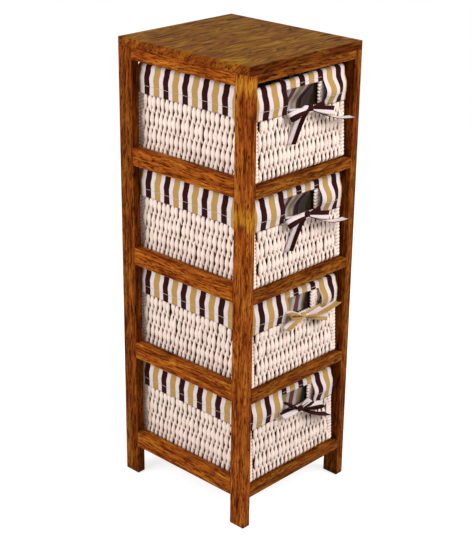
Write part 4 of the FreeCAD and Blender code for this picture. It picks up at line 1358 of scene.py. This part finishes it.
class TOWER_OT_stain_frame(bpy.types.Operator):
    """Stains the posts, rails and top panel, with the grain along each piece, and leaves the battens pale"""

    bl_idname = "basket_tower.stain_frame"
    bl_label = "Stain frame"

    def execute(self, context):
        finish = context.scene.tower_wood
        for name, grain, shade, starts, extras in STAINS:
            dress(starts, stained_wood(name, grain, finish, shade, **extras))
        bench = new_bench("plain_batten_wood")
        look = {"span": (0.3, 0.65), "scale": 260.0, "roughness": 0.65, "depth": 0.15 * MM}
        grain = {"detail": 4.0, "fuzz": 0.6, "stretch": (1.0, 0.06, 1.0)}
        battens = mottled(bench, finish.plain_wood, 0.62, **look, **grain)
        dress(("runner_left", "runner_right"), battens)
        return {"FINISHED"}


class TOWER_OT_finish_hardware(bpy.types.Operator):
    """Finishes the screws and the wire frames inside the baskets"""

    bl_idname = "basket_tower.finish_hardware"
    bl_label = "Finish hardware"

    def execute(self, context):
        screws, wires = ("runner_screws", "panel_screws"), "wire_frame_"
        dress(screws, brushed_metal("zinc_plated_screw", (196, 196, 190), roughness=0.3))
        dress(wires, brushed_metal("drawn_steel_wire", (150, 148, 144), roughness=0.35))
        return {"FINISHED"}


# Stage

def soft_lamp(name, azimuth, elevation, distance, size, power):
    """A square area lamp that looks at the tower's middle from an azimuth and an elevation in degrees."""
    away = Vector(way(azimuth, elevation))
    data = bpy.data.lights.new(name, "AREA")
    data.shape = "SQUARE"
    data.size = size
    data.energy = power
    lamp = bpy.data.objects.new(name, data)
    turned = away.to_track_quat("Z", "Y").to_matrix().to_4x4()
    lamp.matrix_world = Matrix.Translation(VIEW_TARGET + away * distance) @ turned
    bpy.context.scene.collection.objects.link(lamp)


def add_camera(stage):
    """Camera on a sphere round its target, turned by azimuth, elevation and roll."""
    turn, roll = stage.azimuth * DEGREE, stage.roll * DEGREE
    back = Vector(way(stage.azimuth, stage.elevation))
    level = Vector((math.cos(turn), math.sin(turn), 0.0))
    upright = back.cross(level)
    right = level * math.cos(roll) + upright * math.sin(roll)
    up = upright * math.cos(roll) - level * math.sin(roll)
    data = bpy.data.cameras.new("photo_camera")
    data.sensor_width = 36.0
    data.lens = stage.lens
    camera = bpy.data.objects.new("photo_camera", data)
    turned = Matrix((right, up, back)).transposed().to_4x4()
    camera.matrix_world = Matrix.Translation(VIEW_TARGET + back * stage.distance) @ turned
    bpy.context.scene.collection.objects.link(camera)
    bpy.context.scene.camera = camera


def add_floor(stage):
    """A wide flat floor that stays white to the eye and keeps the shadow."""
    steps = 19
    bench = new_bench("pale_floor")
    mottled(bench, stage.floor, 0.985, span=(0.3, 0.7), scale=40.0, roughness=0.9, detail=2.0)
    matt = bench.finish({"Specular IOR Level": 0.0})
    tint = (stage.floor_glow,) * 3 + (1.0,)
    glow = bench.add("Emission", {"Strength": bench.white_for_the_eye(), "Color": tint}).outputs[0]
    plain = bench.tree.nodes["Principled BSDF"].outputs[0]
    both = bench.add("AddShader", {0: plain, 1: glow}).outputs[0]
    bench.fill(bench.tree.nodes["Material Output"], {"Surface": both})
    reach = np.linspace(-stage.floor_reach, stage.floor_reach, steps)
    x, y = np.meshgrid(reach, reach)
    points = np.stack([x, y, np.full_like(x, CAD_BOX[0].z)], axis=-1)
    quads = grid_quads(steps, steps).reshape(-1, 4)
    patch = Patch(points, [(quads, np.zeros(quads.shape + (2,)))])
    make_piece("pale_floor", [patch], [matt])


class TOWER_OT_set_stage(bpy.types.Operator):
    """Sets the camera, the pale floor, the white surroundings and the soft lamps"""

    bl_idname = "basket_tower.set_stage"
    bl_label = "Set stage"

    def execute(self, context):
        stage = context.scene.tower_stage
        scene = context.scene
        scene.view_settings.view_transform = "Standard"
        add_camera(stage)
        for name, lamp in LAMPS.items():
            soft_lamp(name, **lamp)
        scene.world = bpy.data.worlds.new("white_studio")
        bench = NodeBench(scene.world)
        level = bench.maths("MULTIPLY_ADD", bench.white_for_the_eye(), 1.0 - stage.ambient, stage.ambient)
        bench.fill(bench.tree.nodes["Background"], {"Color": WHITE, "Strength": level})
        add_floor(stage)
        return {"FINISHED"}


class VIEW3D_PT_basket_tower(bpy.types.Panel):
    """Steps and settings of the basket tower"""

    bl_label = "Basket tower"
    bl_space_type = "VIEW_3D"
    bl_region_type = "UI"
    bl_category = "Basket tower"

    def draw(self, context):
        for operator in STEPS:
            self.layout.operator(operator.bl_idname)
        for key, group in SETTINGS.items():
            column = self.layout.box().column()
            for name in group.__annotations__:
                column.prop(getattr(context.scene, key), name)


STEPS = (
    TOWER_OT_set_stage,
    TOWER_OT_stain_frame,
    TOWER_OT_finish_hardware,
    TOWER_OT_weave_baskets,
    TOWER_OT_sew_liners,
    TOWER_OT_tie_bows,
)
CLASSES = tuple(SETTINGS.values()) + STEPS + (VIEW3D_PT_basket_tower,)


def register():
    """Registers the classes and hangs the settings on the scene."""
    for cls in CLASSES:
        bpy.utils.register_class(cls)
    for key, group in SETTINGS.items():
        setattr(bpy.types.Scene, key, PointerProperty(type=group))


def unregister():
    """Takes the settings off the scene and the classes out again."""
    for key in SETTINGS:
        delattr(bpy.types.Scene, key)
    for cls in reversed(CLASSES):
        bpy.utils.unregister_class(cls)


def main():
    register()
    bpy.ops.basket_tower.set_stage()
    bpy.ops.basket_tower.stain_frame()
    bpy.ops.basket_tower.finish_hardware()
    bpy.ops.basket_tower.weave_baskets()
    bpy.ops.basket_tower.sew_liners()
    bpy.ops.basket_tower.tie_bows()


if __name__ == "__main__":
    main()
